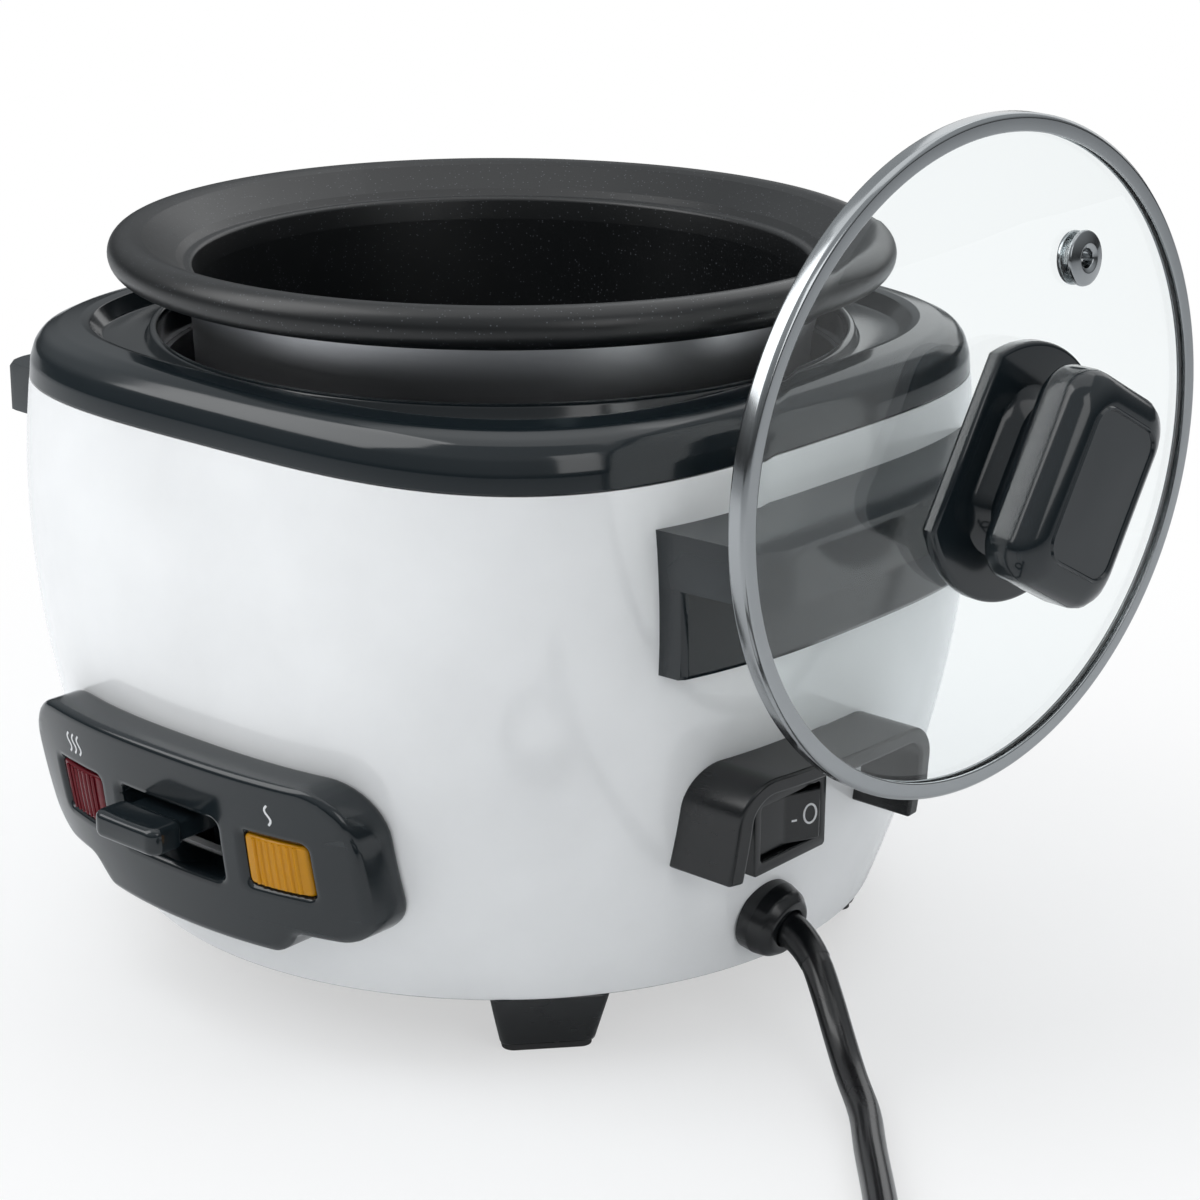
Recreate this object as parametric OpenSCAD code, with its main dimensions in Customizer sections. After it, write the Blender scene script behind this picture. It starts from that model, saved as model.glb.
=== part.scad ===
// Rice cooker with a lift-out pot and a glass lid parked against its right side.
// The front faces -Y, up is +Z, and the feet stand on Z = 0.

/* [Pot] */
// Radius over the rolled rim of the pot
pot_rim_r = 98.5; // [94:0.5:120]
// Height of the pot from its bottom to the top of the rim
pot_h = 111.5; // [90:0.5:135]
// Radius of the roll at the rim
roll_r = 5; // [4:0.5:6]
// Width of the sloping flange between the rim and the lid ledge
flange_w = 18; // [15:0.5:19]
// Thickness of the pot wall
pot_t = 1.6; // [1.2:0.1:2.4]
// How much the pot narrows from its top to its bottom
pot_taper = 5; // [2:0.5:8]

/* [Body] */
// Height of the shell's lower edge above the table
foot_h = 16; // [12:0.5:20]
// Room under the heating plate for the switch works
works_h = 44; // [42:0.5:54]
// Gap between the rim of the pot and the top ring
rim_gap = 13; // [8:0.5:18]
// Height of the dark ring on top of the shell
ring_h = 14; // [12:0.5:18]
// Wall of the outer shell
shell_t = 2.5; // [1.8:0.1:3.2]
// Half width of the shell at its top, beyond the pot rim
top_over = 5; // [3:0.5:10]
// Half width of the shell at its belly, beyond the pot rim
belly_over = 9.5; // [8:0.5:14]
// Half width of the shell at its bottom, beyond the pot rim
bottom_over = 0.5; // [0:0.5:4]
// Turn of each foot from the side-to-side line, in degrees
foot_turn = 41; // [38:1:48]
// Squareness of the shell's top, where 2 is a circle
top_square = 3.4; // [2.4:0.1:3.8]

/* [Heating] */
// Thickness of the heating plate
plate_t = 12; // [10:0.5:14]
// Radius of the hole for the thermostat
stat_r = 17; // [15:0.5:19]
// Travel of the thermostat plunger
stat_travel = 3; // [2:0.5:3]

/* [Controls] */
// Width of the control panel
panel_w = 112; // [100:1:120]
// Height of the control panel at its ends
panel_h = 40; // [36:1:46]
// How far the panel stands off the shell
panel_proud = 12; // [9:0.5:14]
// Height of the panel's middle above the table
panel_z = 56.5; // [55:0.5:58]
// Width of the cooking lever
lever_w = 22; // [18:0.5:26]
// Drop of the cooking lever's tip
lever_drop = 8; // [5:0.5:8]
// Distance of each signal lens from the middle
lens_x = 34; // [30:0.5:36]

/* [Side fittings] */
// Width of each carrying handle
handle_w = 122; // [100:1:140]
// Height of each carrying handle's back plate
handle_h = 34; // [28:1:40]
// How far a handle reaches out from the shell's top
handle_reach = 27.5; // [22:0.5:32]
// Middle of the switch and cord bracket along Y
side_y = -17; // [-22:1:-12]
// Width of the cord bracket
bracket_w = 66; // [60:1:74]
// How far the cord bracket stands off the shell
bracket_reach = 17; // [14:0.5:20]

/* [Lid] */
// Clearance between the lid and the pot's ledge
lid_gap = 1.2; // [0.4:0.1:1.5]
// Rise of the glass dome
dome_h = 6; // [5:0.5:14]
// Thickness of the glass
glass_t = 3.6; // [3:0.1:5]
// Height of the knob above the glass
knob_h = 28; // [24:0.5:32]
// Turn of the parked lid about the vertical, in degrees
lid_turn = -6; // [-8:0.5:0]
// Distance kept between the parked lid and the handle
park_gap = 1; // [0.5:0.1:3]

/* [Cord] */
// Diameter of the mains cord
cord_d = 7.5; // [6:0.1:8]
// Radius of the cord gland's flange
gland_r = 9.5; // [8:0.5:11]

/* [Hidden] */
$fn = 72;
eps = 0.01;

// Heights, from the table up
base_t = 2;
plate_z = foot_h + works_h;
pot_z = plate_z + plate_t;
rim_z = pot_z + pot_h;
roll_drop = 9.5;
ring_z = rim_z - roll_drop - rim_gap;
shell_z = ring_z - ring_h;
belly_z = (foot_h + shell_z) / 2;

// Half widths of the shell
w_top = pot_rim_r + top_over;
w_belly = pot_rim_r + belly_over;
w_bottom = pot_rim_r + bottom_over;

// Radii around the pot
ledge_r = pot_rim_r - flange_w;
pot_r = ledge_r - 1.5;
pot_base_r = pot_r - pot_taper;
liner_r = pot_r + 7.5;
lip_r = liner_r + 1.5;
plate_r = pot_base_r - 3;

// Lid
lid_r = ledge_r - lid_gap;
rim_h = 5.2;
rim_t = 0.8;
glass_r = lid_r - 1.2;
dome_z = rim_t + glass_t + dome_h;
dome_r = (pow(lid_r - 4, 2) + pow(dome_h, 2)) / (2 * dome_h);
vent_r = 0.658 * lid_r;
vent_turn = 147.5;
handle_x = w_top + handle_reach;
lid_y = 5;
lid_z = shell_z;
lid_x = handle_x + park_gap + (lid_y + 58) * tan(-lid_turn) + 0.6;

// Middle of the whole object's box, which is the frame's origin
reach_right = lid_x + (dome_z + 0.5 + knob_h) * cos(lid_turn) + 22.9 * sin(-lid_turn);
lever_tip = 12.5;
reach_front = shell_reach(0, panel_z) + panel_proud + lever_tip;
mid_x = (reach_right - handle_x) / 2;
mid_y = (w_belly - reach_front) / 2;

// Shape of the shell
function pull(z) = (w_top - w_belly) / (shell_z - belly_z) - (w_belly - w_bottom) / (belly_z - foot_h);
function shell_w(z) = w_bottom + (w_belly - w_bottom) * (z - foot_h) / (belly_z - foot_h)
    + pull(z) / (shell_z - foot_h) * (z - foot_h) * (z - belly_z);
function shell_n(z) = 2 + (top_square - 2) * (z - foot_h) / (shell_z - foot_h);
function square_r(w, n, a) = w / pow(pow(abs(cos(a)), n) + pow(abs(sin(a)), n), 1 / n);
function shell_r(a, z) = square_r(shell_w(z), shell_n(z), a);
// Distance of the shell's surface from the middle plane at a place t along the side
function shell_reach(t, z) = pow(pow(shell_w(z), shell_n(z)) - pow(abs(t), shell_n(z)), 1 / shell_n(z));
function shell_lean(z) = atan(shell_w(z + 0.5) - shell_w(z - 0.5));

module placed() translate([-mid_x, -mid_y, 0]) children();

// One closed solid through a row of rings of points; the ends are capped unless it is a loop
module skin(rings, loop = false) {
    n = len(rings[0]);
    m = len(rings);
    points = [for (ring = rings) for (p = ring) p];
    sides = [for (i = [0 : m - (loop ? 1 : 2)]) for (j = [0 : n - 1])
        let (k = (i + 1) % m, l = (j + 1) % n, a = i * n + j, b = i * n + l, c = k * n + l, d = k * n + j)
        each [[a, b, c], [a, c, d]]];
    caps = loop ? [] : [[for (j = [n - 1 : -1 : 0]) j], [for (j = [0 : n - 1]) (m - 1) * n + j]];
    polyhedron(points = points, faces = concat(sides, caps), convexity = 8);
}

function turned(profile, a) = [for (p = profile) [p[0] * cos(a), p[0] * sin(a), p[1]]];
function levels(z0, z1, n) = [for (i = [0 : n]) z0 + (z1 - z0) * i / n];
function side_profile(a, zs, inner, outer) = concat(
    [for (z = zs) [shell_r(a, z) + outer, z]],
    [for (i = [len(zs) - 1 : -1 : 0]) [inner < -50 ? 1 : shell_r(a, zs[i]) + inner, zs[i]]]);

// A layer that follows the shell, between two distances from its surface
module shell_layer(inner, outer, z0, z1, steps = 8, turns = 56)
    skin([for (i = [0 : turns - 1]) let (a = -360 / turns * i)
        turned(side_profile(a, levels(z0, z1, steps), inner, outer), a)], loop = true);

// Everything inside the shell's surface
module shell_core(grow = 0, z0 = 20, z1 = 140, turns = 56)
    skin([for (z = levels(z0, z1, 8))
        [for (i = [0 : turns - 1]) let (a = -360 / turns * i)
            [(shell_r(a, z) + grow) * cos(a), (shell_r(a, z) + grow) * sin(a), z]]]);

module rounded(l, w, r) {
    square([l - 2 * r, w], center = true);
    square([l, w - 2 * r], center = true);
    for (x = [-1, 1]) for (y = [-1, 1])
        translate([x * (l / 2 - r), y * (w / 2 - r)]) circle(r);
}

// Turns a flat outline in X and Z into a block that runs along Y
module along_y(y0, y1) translate([0, y1, 0]) rotate([90, 0, 0]) linear_extrude(y1 - y0) children();
// Turns a flat outline in Y and Z into a block that runs along X
module along_x(x0, x1) translate([x0, 0, 0]) rotate([90, 0, 90]) linear_extrude(x1 - x0) children();
module on_feet() for (a = [foot_turn, 180 - foot_turn, 180 + foot_turn, -foot_turn]) rotate([0, 0, a]) translate([foot_mid, 0, 0]) children();

// ---- Shell, ring, liner and base ----
slot_w = 34;
slot_h = 15.5;
slot_z = panel_z - 2;
lens_z = panel_z - 1.5;
lens_w = 18;
lens_h = 13.5;
bulb_r = 3;
switch_y = side_y - 1.5;
switch_z = 57;
switch_w = 28;
switch_h = 20.5;
switch_x = shell_reach(switch_y, switch_z) + 4;
gland_z = 30;
gland_x = shell_reach(side_y, gland_z);
gland_tilt = shell_lean(gland_z);
gland_hole = 6.4;
handle_z = shell_z - 10 - handle_h;
handle_screw_r = 1.8;
handle_screw_y = 32;
handle_screw_z = handle_z + handle_h - 8;

module gland_place() translate([gland_x, side_y, gland_z]) rotate([0, 90 + gland_tilt, 0]) children();

module outer_shell() color("whitesmoke") placed() difference() {
    shell_layer(-shell_t, 0, foot_h, shell_z, 9);
    along_y(-w_belly - 9, -w_bottom + 14) translate([0, slot_z]) square([slot_w - 4, slot_h], center = true);
    for (x = [-lens_x, lens_x]) along_y(-w_belly - 9, -w_bottom + 30) translate([x, lens_z]) circle(bulb_r, $fn = 24);
    along_x(w_bottom - 12, w_belly + 9) translate([switch_y, switch_z]) square([switch_w - 4, switch_h - 4], center = true);
    gland_place() cylinder(h = 30, r = gland_hole, center = true, $fn = 36);
    for (s = [-1, 1]) for (y = [-1, 1]) translate([s * w_top, y * handle_screw_y, handle_screw_z])
        rotate([0, 90, 0]) cylinder(h = 40, r = handle_screw_r + 0.2, center = true, $fn = 24);
}

function crest_r(a) = square_r(w_top - 11.5, 3.2, a);
// Section of the top ring at one angle: outer skin, trough, lip and back along the underside
function ring_profile(a) = let (o = square_r(w_top, top_square, a), c = crest_r(a), z = shell_z, h = ring_h,
                                t = max(lip_r + 2.2, c - 4))
    [[o, z], [o - 0.3, z + 0.3 * h], [o - 1.6, z + 0.6 * h], [o - 3.8, z + 0.8 * h],
     [(o + c) / 2 - 0.6, z + 0.92 * h], [c + 1.4, z + h - 0.3], [c, z + h], [c - 1.1, z + h - 0.9],
     [t, z + h - 4.4], [lip_r + 1.7, z + h - 5], [lip_r + 1, z + h - 2.2], [lip_r + 0.2, z + h - 1],
     [lip_r - 0.8, z + h - 1], [lip_r - 1.2, z + h - 2.4], [lip_r - 1.2, z + 3], [lip_r + 0.8, z + 3],
     [lip_r + 0.8, z + 6.6], [t - 0.4, z + 7], [c + 0.4, z + h - 3], [o - 5.6, z + 0.56 * h],
     [o - 3.2, z + 0.3 * h], [o - shell_t, z]];

module top_ring() color("darkslategray") placed()
    skin([for (i = [0 : 63]) let (a = -360 / 64 * i) turned(ring_profile(a), a)], loop = true);

liner_z = pot_z - 3.5;
module inner_liner() color("silver") placed() rotate_extrude() polygon([
    [liner_r - 1, liner_z + 1], [plate_r + 0.4, liner_z + 1], [plate_r + 0.4, liner_z], [liner_r, liner_z],
    [liner_r, shell_z + 2], [lip_r + 1.5, shell_z + 2], [lip_r + 1.5, shell_z + 3], [liner_r - 1, shell_z + 3]]);

base_r = w_bottom - shell_t;
foot_mid = w_bottom - 14;
foot_screw_r = 1.9;
module base_plate() color("gray") placed() difference() {
    translate([0, 0, foot_h]) rotate_extrude() polygon([
        [0, 0], [base_r, 0], [base_r, 6], [base_r - 1.4, 6], [base_r - 1.4, base_t], [0, base_t]]);
    for (a = [0 : 30 : 330]) rotate([0, 0, a + 15]) translate([0.62 * base_r, 0, foot_h])
        linear_extrude(3 * base_t, center = true) rounded(22, 4, 1.9);
    on_feet() cylinder(h = 3 * foot_h, r = foot_screw_r + 0.2, $fn = 24);
}

pad_t = 1.5;
module feet() color("black") placed() on_feet() difference() {
    hull() {
        translate([2.5, 0, foot_h - 0.5]) cube([23, 29, 1], center = true);
        translate([0, 0, pad_t + 0.5]) cube([17, 23, 1], center = true);
    }
    cylinder(h = foot_h - 6, r = 4.6, $fn = 32);
    translate([0, 0, -1]) cylinder(h = foot_h + 3, r = foot_screw_r + 0.2, $fn = 24);
}

module foot_pads() color("dimgray") placed() on_feet() difference() {
    linear_extrude(pad_t) rounded(16, 22, 3);
    translate([0, 0, -1]) cylinder(h = pad_t + 2, r = 5.6, $fn = 32);
}

module foot_screws() color("silver") placed() on_feet() {
    translate([0, 0, foot_h - 6]) mirror([0, 0, 1]) cylinder(h = 1.6, r = 2.1, $fn = 24);
    translate([0, 0, foot_h - 7]) cylinder(h = 7 + base_t + 5, r = foot_screw_r, $fn = 24);
}

module foot_nuts() color("gray") placed() on_feet() translate([0, 0, foot_h + base_t]) difference() {
    cylinder(h = 3, r = 4, $fn = 6);
    translate([0, 0, -1]) cylinder(h = 5, r = foot_screw_r, $fn = 24);
}

// ---- Control panel and cooking lever ----
panel_top = panel_z + panel_h / 2;
panel_low = panel_z - panel_h / 2;
panel_drop = 6.5;
panel_wall = 2.6;
corner_r = 14;
module panel_outline(inset = 0) {
    translate([0, panel_z]) rounded(panel_w - 2 * inset, panel_h - 2 * inset, corner_r - inset);
    polygon([[-36 + inset, panel_low + 9], [-30 + inset, panel_low - panel_drop + inset],
             [30 - inset, panel_low - panel_drop + inset], [36 - inset, panel_low + 9]]);
}
module panel_layer(inner, outer)
    skin([for (i = [0 : 22]) let (a = -48 - 84 / 22 * i)
        turned(side_profile(a, levels(panel_low - 10, panel_top + 4, 6), inner, outer), a)]);
panel_lean = atan((shell_w(panel_top) - shell_w(panel_low - panel_drop)) / (panel_h + panel_drop));
cavity_r = 175;
cavity_y = cavity_r - shell_w(panel_z) - panel_proud + panel_wall + 0.6;

module control_panel() color("darkslategray") placed() difference() {
    intersection() {
        panel_layer(0, panel_proud);
        along_y(-w_belly - 30, 0) panel_outline();
    }
    intersection() {
        translate([0, cavity_y, panel_z]) rotate([panel_lean, 0, 0]) cylinder(h = 90, r = cavity_r, center = true);
        along_y(-w_belly - 29, -40) panel_outline(panel_wall);
    }
    along_y(-w_belly - 30, 0) translate([0, slot_z]) rounded(slot_w, slot_h, 2);
    for (x = [-lens_x, lens_x]) along_y(-w_belly - 30, 0) translate([x, lens_z]) rounded(lens_w, lens_h, 1.5);
}

module panel_screws() color("silver") placed() for (x = [-45, 45]) {
    y = -shell_reach(x, panel_top - 8);
    translate([x, y + shell_t, panel_top - 8]) rotate([-90, 0, 0]) cylinder(h = 2, r = 3, $fn = 24);
}

module lens(x) placed() intersection() {
    panel_layer(panel_proud - 5, panel_proud + 0.6);
    along_y(-w_belly - 30, 0) translate([x, lens_z]) rounded(lens_w, lens_h, 1.5);
}
module red_lens() color("darkred") lens(-lens_x);
module amber_lens() color("orange") lens(lens_x);

module indicator_lamps() color("snow") placed() for (x = [-lens_x, lens_x]) {
    y = -shell_reach(x, lens_z);
    translate([x, y - 3, lens_z]) rotate([-90, 0, 0]) cylinder(h = 14, r = bulb_r, $fn = 24);
    translate([x, y - 3, lens_z]) sphere(bulb_r, $fn = 24);
}

pivot_y = -58;
pivot_z = foot_h + 18;
arm_t = 4;
arm_end = 4;
leg_y = -w_bottom + 3.5;
lever_z = slot_z + slot_h / 2 - 4.2;
lever_x = -1.2;
face_y = -(shell_reach(0, lever_z) + panel_proud);
lever_turn = asin(lever_drop / (pivot_y - face_y + lever_tip));
module cook_lever() color("darkslategray") placed() {
    along_y(face_y - lever_tip, face_y - 2) translate([lever_x, lever_z]) rounded(lever_w, 7, 2);
    along_y(face_y - 3, leg_y) translate([lever_x, lever_z]) square([lever_w - 4, 5], center = true);
    along_y(leg_y - 1, leg_y + 4) translate([0, (pivot_z - arm_t / 2 + lever_z) / 2])
        square([16, lever_z - pivot_z + arm_t / 2 + 5], center = true);
}

pin_r = 2;
module lever_arm() color("silver") placed() difference() {
    union() {
        translate([-5, leg_y + 4, pivot_z - arm_t / 2]) cube([10, arm_end - leg_y - 4, arm_t]);
        translate([0, pivot_y, pivot_z]) rotate([0, 90, 0]) cylinder(h = 14, r = 5, center = true);
    }
    translate([0, pivot_y, pivot_z]) rotate([0, 90, 0]) cylinder(h = 30, r = pin_r + 0.05, center = true);
}

module lever_bracket() color("silver") placed() difference() {
    union() {
        translate([-10, pivot_y - 7, foot_h + base_t]) cube([20, 32, 1.5]);
        for (x = [-8.6, 8.6]) translate([x - 0.75, pivot_y - 6, foot_h + base_t])
            cube([1.5, 12, pivot_z - foot_h + 4]);
    }
    translate([0, pivot_y, pivot_z]) rotate([0, 90, 0]) cylinder(h = 40, r = pin_r + 0.05, center = true);
}

module lever_pin() color("gray") placed() translate([0, pivot_y, pivot_z]) rotate([0, 90, 0]) {
    cylinder(h = 21, r = pin_r, center = true);
    for (s = [-1, 1]) translate([0, 0, s * 11]) cylinder(h = 1.4, r = 3.4, center = true);
}

function helix(r, z0, z1, turns, n) = [for (i = [0 : n]) let (t = i / n)
    [r * cos(360 * turns * t), r * sin(360 * turns * t), z0 + (z1 - z0) * t]];
function unit(v) = v / norm(v);
function heading(path, i) = unit(path[min(i + 1, len(path) - 1)] - path[max(i - 1, 0)]);
// Ring of points across a path at one of its points
function hoop(path, i, r, n) = let (t = heading(path, i), s = unit(cross(t, [0, 0.05, 1])), u = cross(s, t))
    [for (k = [0 : n - 1]) path[i] + r * (cos(360 * k / n) * s + sin(360 * k / n) * u)];
module tube(path, d, sides = 8) skin([for (i = [0 : len(path) - 1]) hoop(path, i, d / 2, sides)]);

spring_wire = 0.8;
lever_spring_y = -86;
module lever_spring() color("silver") placed() translate([0, lever_spring_y, 0])
    tube(helix(3.4, foot_h + base_t + spring_wire / 2, pivot_z - (arm_t + spring_wire) / 2, 4.5, 54), spring_wire, 6);

module micro_switch() color("black") placed() {
    translate([-9.5, pivot_y + 14, foot_h + base_t + 1.5]) cube([6, 20, 8]);
    translate([-7.5, pivot_y + 22, foot_h + base_t + 9.5 - eps]) cube([2, 3, 1.5]);
    for (y = [17, 24, 31]) translate([-9.5 - 4, pivot_y + y, foot_h + base_t + 3]) cube([4 + eps, 1, 4]);
}

// ---- Handles ----
module handle() placed() {
    half = handle_w / 2;
    top = handle_z + handle_h;
    lean_in = 3;
    difference() {
        union() {
            translate([0, 0, top - 8]) linear_extrude(8) polygon([
                [60, -half], [handle_x - 6, -half + lean_in], [handle_x - 1.5, -half + lean_in + 3],
                [handle_x, -half + lean_in + 8], [handle_x, half - lean_in - 8],
                [handle_x - 1.5, half - lean_in - 3], [handle_x - 6, half - lean_in], [60, half]]);
            translate([handle_x - 4, -half + lean_in + 8, top - 13]) cube([4, handle_w - 2 * lean_in - 16, 6]);
            translate([0, 0, top - 13]) linear_extrude(6) for (m = [0, 1]) mirror([0, m]) polygon([
                [60, half - 3.5], [handle_x - 7, half - lean_in - 3.5], [handle_x - 4, half - lean_in - 9],
                [handle_x, half - lean_in - 8], [handle_x - 1.5, half - lean_in - 3],
                [handle_x - 6, half - lean_in], [60, half]]);
            intersection() {
                translate([60, -half, handle_z]) cube([100, handle_w, handle_h - 4]);
                shell_core(6.5, handle_z - 20, top + 9);
            }
        }
        shell_core(0, handle_z - 20, top + 9);
        for (y = [-1, 1]) translate([w_top - 10, y * handle_screw_y, handle_screw_z])
            rotate([0, 90, 0]) cylinder(h = 20, r = handle_screw_r, $fn = 24);
    }
}
module right_handle() color("darkslategray") handle();
module left_handle() color("darkslategray") translate([-2 * mid_x, 0, 0]) mirror([1, 0, 0]) handle();

module handle_screws() color("silver") placed() for (s = [-1, 1]) for (y = [-1, 1]) {
    reach = shell_reach(handle_screw_y, handle_screw_z);
    translate([s * (reach - shell_t - 0.4), y * handle_screw_y, handle_screw_z]) rotate([0, -90 * s, 0])
        cylinder(h = 2.2, r = 3.4, $fn = 24);
    translate([s * (reach - shell_t - 0.6), y * handle_screw_y, handle_screw_z]) rotate([0, 90 * s, 0])
        cylinder(h = 7, r = handle_screw_r, $fn = 24);
}

// ---- Cord bracket, switch and gland ----
bracket_top = 78;
bracket_low = 52;
bracket_t = 4;
module bracket_outline(inset) translate([side_y, 0]) {
    w = bracket_w / 2 - inset;
    top = bracket_top - inset;
    r = 10 - inset;
    translate([0, (bracket_low - 20 + top - r) / 2]) square([2 * w, top - r - bracket_low + 20], center = true);
    translate([0, top - r]) square([2 * (w - r), 2 * r], center = true);
    for (s = [-1, 1]) translate([s * (w - r), top - r]) circle(r, $fn = 48);
}

module cord_bracket() color("black") placed() difference() {
    intersection() {
        along_x(60, 160) difference() {
            bracket_outline(0);
            bracket_outline(bracket_t);
            translate([side_y, bracket_low - 30]) square([3 * bracket_w, 60], center = true);
        }
        shell_core(bracket_reach, bracket_low - 8, bracket_top + 6);
    }
    shell_core(0, bracket_low - 8, bracket_top + 6);
}

rocker_w = 21;
rocker_h = 13;
rocker_turn = 20;
rocker_axle = 1.5;
module switch_housing() color("black") placed() difference() {
    union() {
        difference() {
            along_x(switch_x - 14, switch_x) translate([switch_y, switch_z]) rounded(switch_w, switch_h, 1);
            shell_core(0, switch_z - 24, switch_z + 24);
        }
        along_x(switch_x - 24, switch_x - 3) translate([switch_y, switch_z])
            square([switch_w - 4, switch_h - 4], center = true);
    }
    along_x(switch_x - 13, switch_x + 1) translate([switch_y, switch_z])
        square([rocker_w + 2, rocker_h + 0.8], center = true);
    translate([switch_x - 4, switch_y, switch_z]) cylinder(h = rocker_h + 2.6, r = rocker_axle + 0.05, center = true);
}

// The rocker turns about a vertical axle; its left half is pressed in at rest
module rocker() color("black") placed() translate([switch_x - 4, switch_y, switch_z]) {
    half = rocker_w / 2;
    rotate([0, 0, -rocker_turn / 2]) linear_extrude(rocker_h, center = true) polygon([
        [-3, -half + 3], [2.5, -half], [4.2, -half + 0.4], [2.4, 0], [4.2, half - 0.4], [2.5, half], [-3, half - 3]]);
    cylinder(h = rocker_h + 2.2, r = rocker_axle, center = true);
}

module switch_tabs() color("goldenrod") placed() for (y = [-7, 0, 7])
    translate([switch_x - 32, switch_y + y - 0.4, switch_z - 2.4]) cube([8, 0.8, 4.8]);

gland_h = 8;
module cable_gland() color("black") placed() gland_place() difference() {
    union() {
        translate([0, 0, -0.6]) cylinder(h = 3.6, r = gland_r, $fn = 48);
        cylinder(h = gland_h, r = gland_r - 1.5, $fn = 12);
        translate([0, 0, -10]) cylinder(h = 11, r = gland_hole - 0.1, $fn = 48);
    }
    translate([0, 0, -12]) cylinder(h = gland_h + 14, r = cord_d / 2, $fn = 48);
}

module gland_nut() color("dimgray") placed() gland_place() translate([0, 0, -shell_t - 6.4]) difference() {
    cylinder(h = 4, r = 9, $fn = 6);
    translate([0, 0, -1]) cylinder(h = 6, r = gland_hole - 0.1, $fn = 48);
}

// ---- Mains cord ----
floor_z = cord_d / 2;
cord_route = [[106, -17, 29], [112, -17.5, 27.5], [119, -20, 24], [126, -24, 18], [133, -28.5, 11.5],
              [141, -34.5, 6.5], [151, -43, 4], [162, -56, 4], [176, -72, 4], [192, -91, 4],
              [206, -108, 4], [218, -122.5, 4], [229, -136, 4]];
cord_end = [[232, -134, 12.5], [240, -143.5, 14], [249, -154.5, 16.5], [256, -163, 17.5]];
coil_mid = [194.5, -165];
coil_r = 41;
plug_turn = -49.5;
plug_z = 17.5;
plug_len = 34;

// Smooth curve through hand-set points
function spline(p, i, t) = let (a = p[max(i - 1, 0)], b = p[i], c = p[i + 1], d = p[min(i + 2, len(p) - 1)])
    0.5 * (2 * b + (c - a) * t + (2 * a - 5 * b + 4 * c - d) * t * t + (3 * b - 3 * c + d - a) * t * t * t);
function smooth(p, k) = concat([for (i = [0 : len(p) - 2]) for (j = [0 : k - 1]) spline(p, i, j / k)], [p[len(p) - 1]]);

module mains_cord() color("black") placed() {
    tube(smooth(cord_route, 3), cord_d, 10);
    tube(smooth(cord_end, 3), cord_d, 10);
}

module cord_coil() color("black") placed() translate([coil_mid[0], coil_mid[1], 0])
    rotate_extrude() polygon([
        [coil_r - cord_d, 0.4], [coil_r + cord_d, 0.4], [coil_r + 1.08 * cord_d, cord_d / 2],
        [coil_r + 0.5 * cord_d, 1.9 * cord_d], [coil_r - 0.5 * cord_d, 1.9 * cord_d],
        [coil_r - 1.08 * cord_d, cord_d / 2]]);

module plug_place() translate([cord_end[3][0], cord_end[3][1], plug_z]) rotate([0, 0, plug_turn])
    rotate([0, 90, 0]) children();
module plug_body() color("black") placed() plug_place() difference() {
    union() {
        cylinder(h = 8, r1 = 6, r2 = 8.5, $fn = 48);
        translate([0, 0, 8]) cylinder(h = 9, r1 = 12, r2 = 16.5, $fn = 48);
        translate([0, 0, 17]) cylinder(h = plug_len - 17, r = 17, $fn = 64);
    }
    for (s = [-1, 1]) translate([0, s * 9.5, plug_len - 12]) cylinder(h = 14, r = 2.4, $fn = 32);
}
module plug_pins() color("silver") placed() plug_place() for (s = [-1, 1]) translate([0, s * 9.5, plug_len - 12]) {
    cylinder(h = 28, r = 2.4, $fn = 32);
    translate([0, 0, 28]) cylinder(h = 1.6, r1 = 2.4, r2 = 1.4, $fn = 32);
}

// ---- Heating ----
element_r = 50;
element_wire = 4;
module heating_plate() color("silver") placed() difference() {
    translate([0, 0, plate_z]) rotate_extrude() polygon([
        [stat_r, 0], [plate_r - 3, 0], [plate_r, 3], [plate_r, plate_t - 2.5], [plate_r - 6, plate_t], [stat_r, plate_t]]);
    translate([0, 0, plate_z]) rotate_extrude() translate([element_r, 0]) circle(element_wire, $fn = 32);
    plate_legs() translate([0, 0, plate_z - 1]) cylinder(h = 7, r = 1.7, $fn = 24);
}

module heating_element() color("dimgray") placed() translate([0, 0, plate_z])
    rotate([0, 0, 105]) rotate_extrude(angle = 330) translate([element_r, 0]) circle(element_wire, $fn = 32);

module element_posts() color("ivory") placed() for (a = [70, 110]) rotate([0, 0, a])
    translate([element_r, 0, plate_z - 14]) cylinder(h = 15 - element_wire, r = 2.6, $fn = 24);

module plate_legs() for (a = [90, 210, 330]) rotate([0, 0, a]) translate([plate_r - 11, 0, 0]) children();
module plate_posts() color("silver") placed() plate_legs() {
    translate([0, 0, foot_h + base_t]) cylinder(h = works_h - base_t, r = 3.5, $fn = 32);
    translate([0, 0, plate_z - eps]) cylinder(h = 5, r = 1.7, $fn = 24);
}

cap_r = stat_r - 1.8;
housing_z = plate_z - 14;
module thermostat_housing() color("silver") placed() rotate_extrude() polygon([
    [cap_r - 4.7, housing_z], [stat_r, housing_z], [stat_r, pot_z - 6], [cap_r + 0.3, pot_z - 6],
    [cap_r + 0.3, housing_z + 1.5], [cap_r - 4.7, housing_z + 1.5]]);

ferrite_z = housing_z + 8;
module thermostat_plunger() color("silver") placed() rotate_extrude() polygon([
    [0, pot_z - 4], [cap_r - 2, pot_z - 4], [cap_r - 2, ferrite_z + 2], [0, ferrite_z + 2], [0, ferrite_z],
    [cap_r, ferrite_z], [cap_r, pot_z - 1.2], [cap_r - 1, pot_z - 0.3], [0, pot_z - 0.3]]);

module plunger_spring() color("silver") placed() tube(helix(cap_r - 2.6, housing_z + 1.5 + spring_wire / 2,
    ferrite_z - spring_wire / 2, 3, 48), spring_wire, 6);

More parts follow.
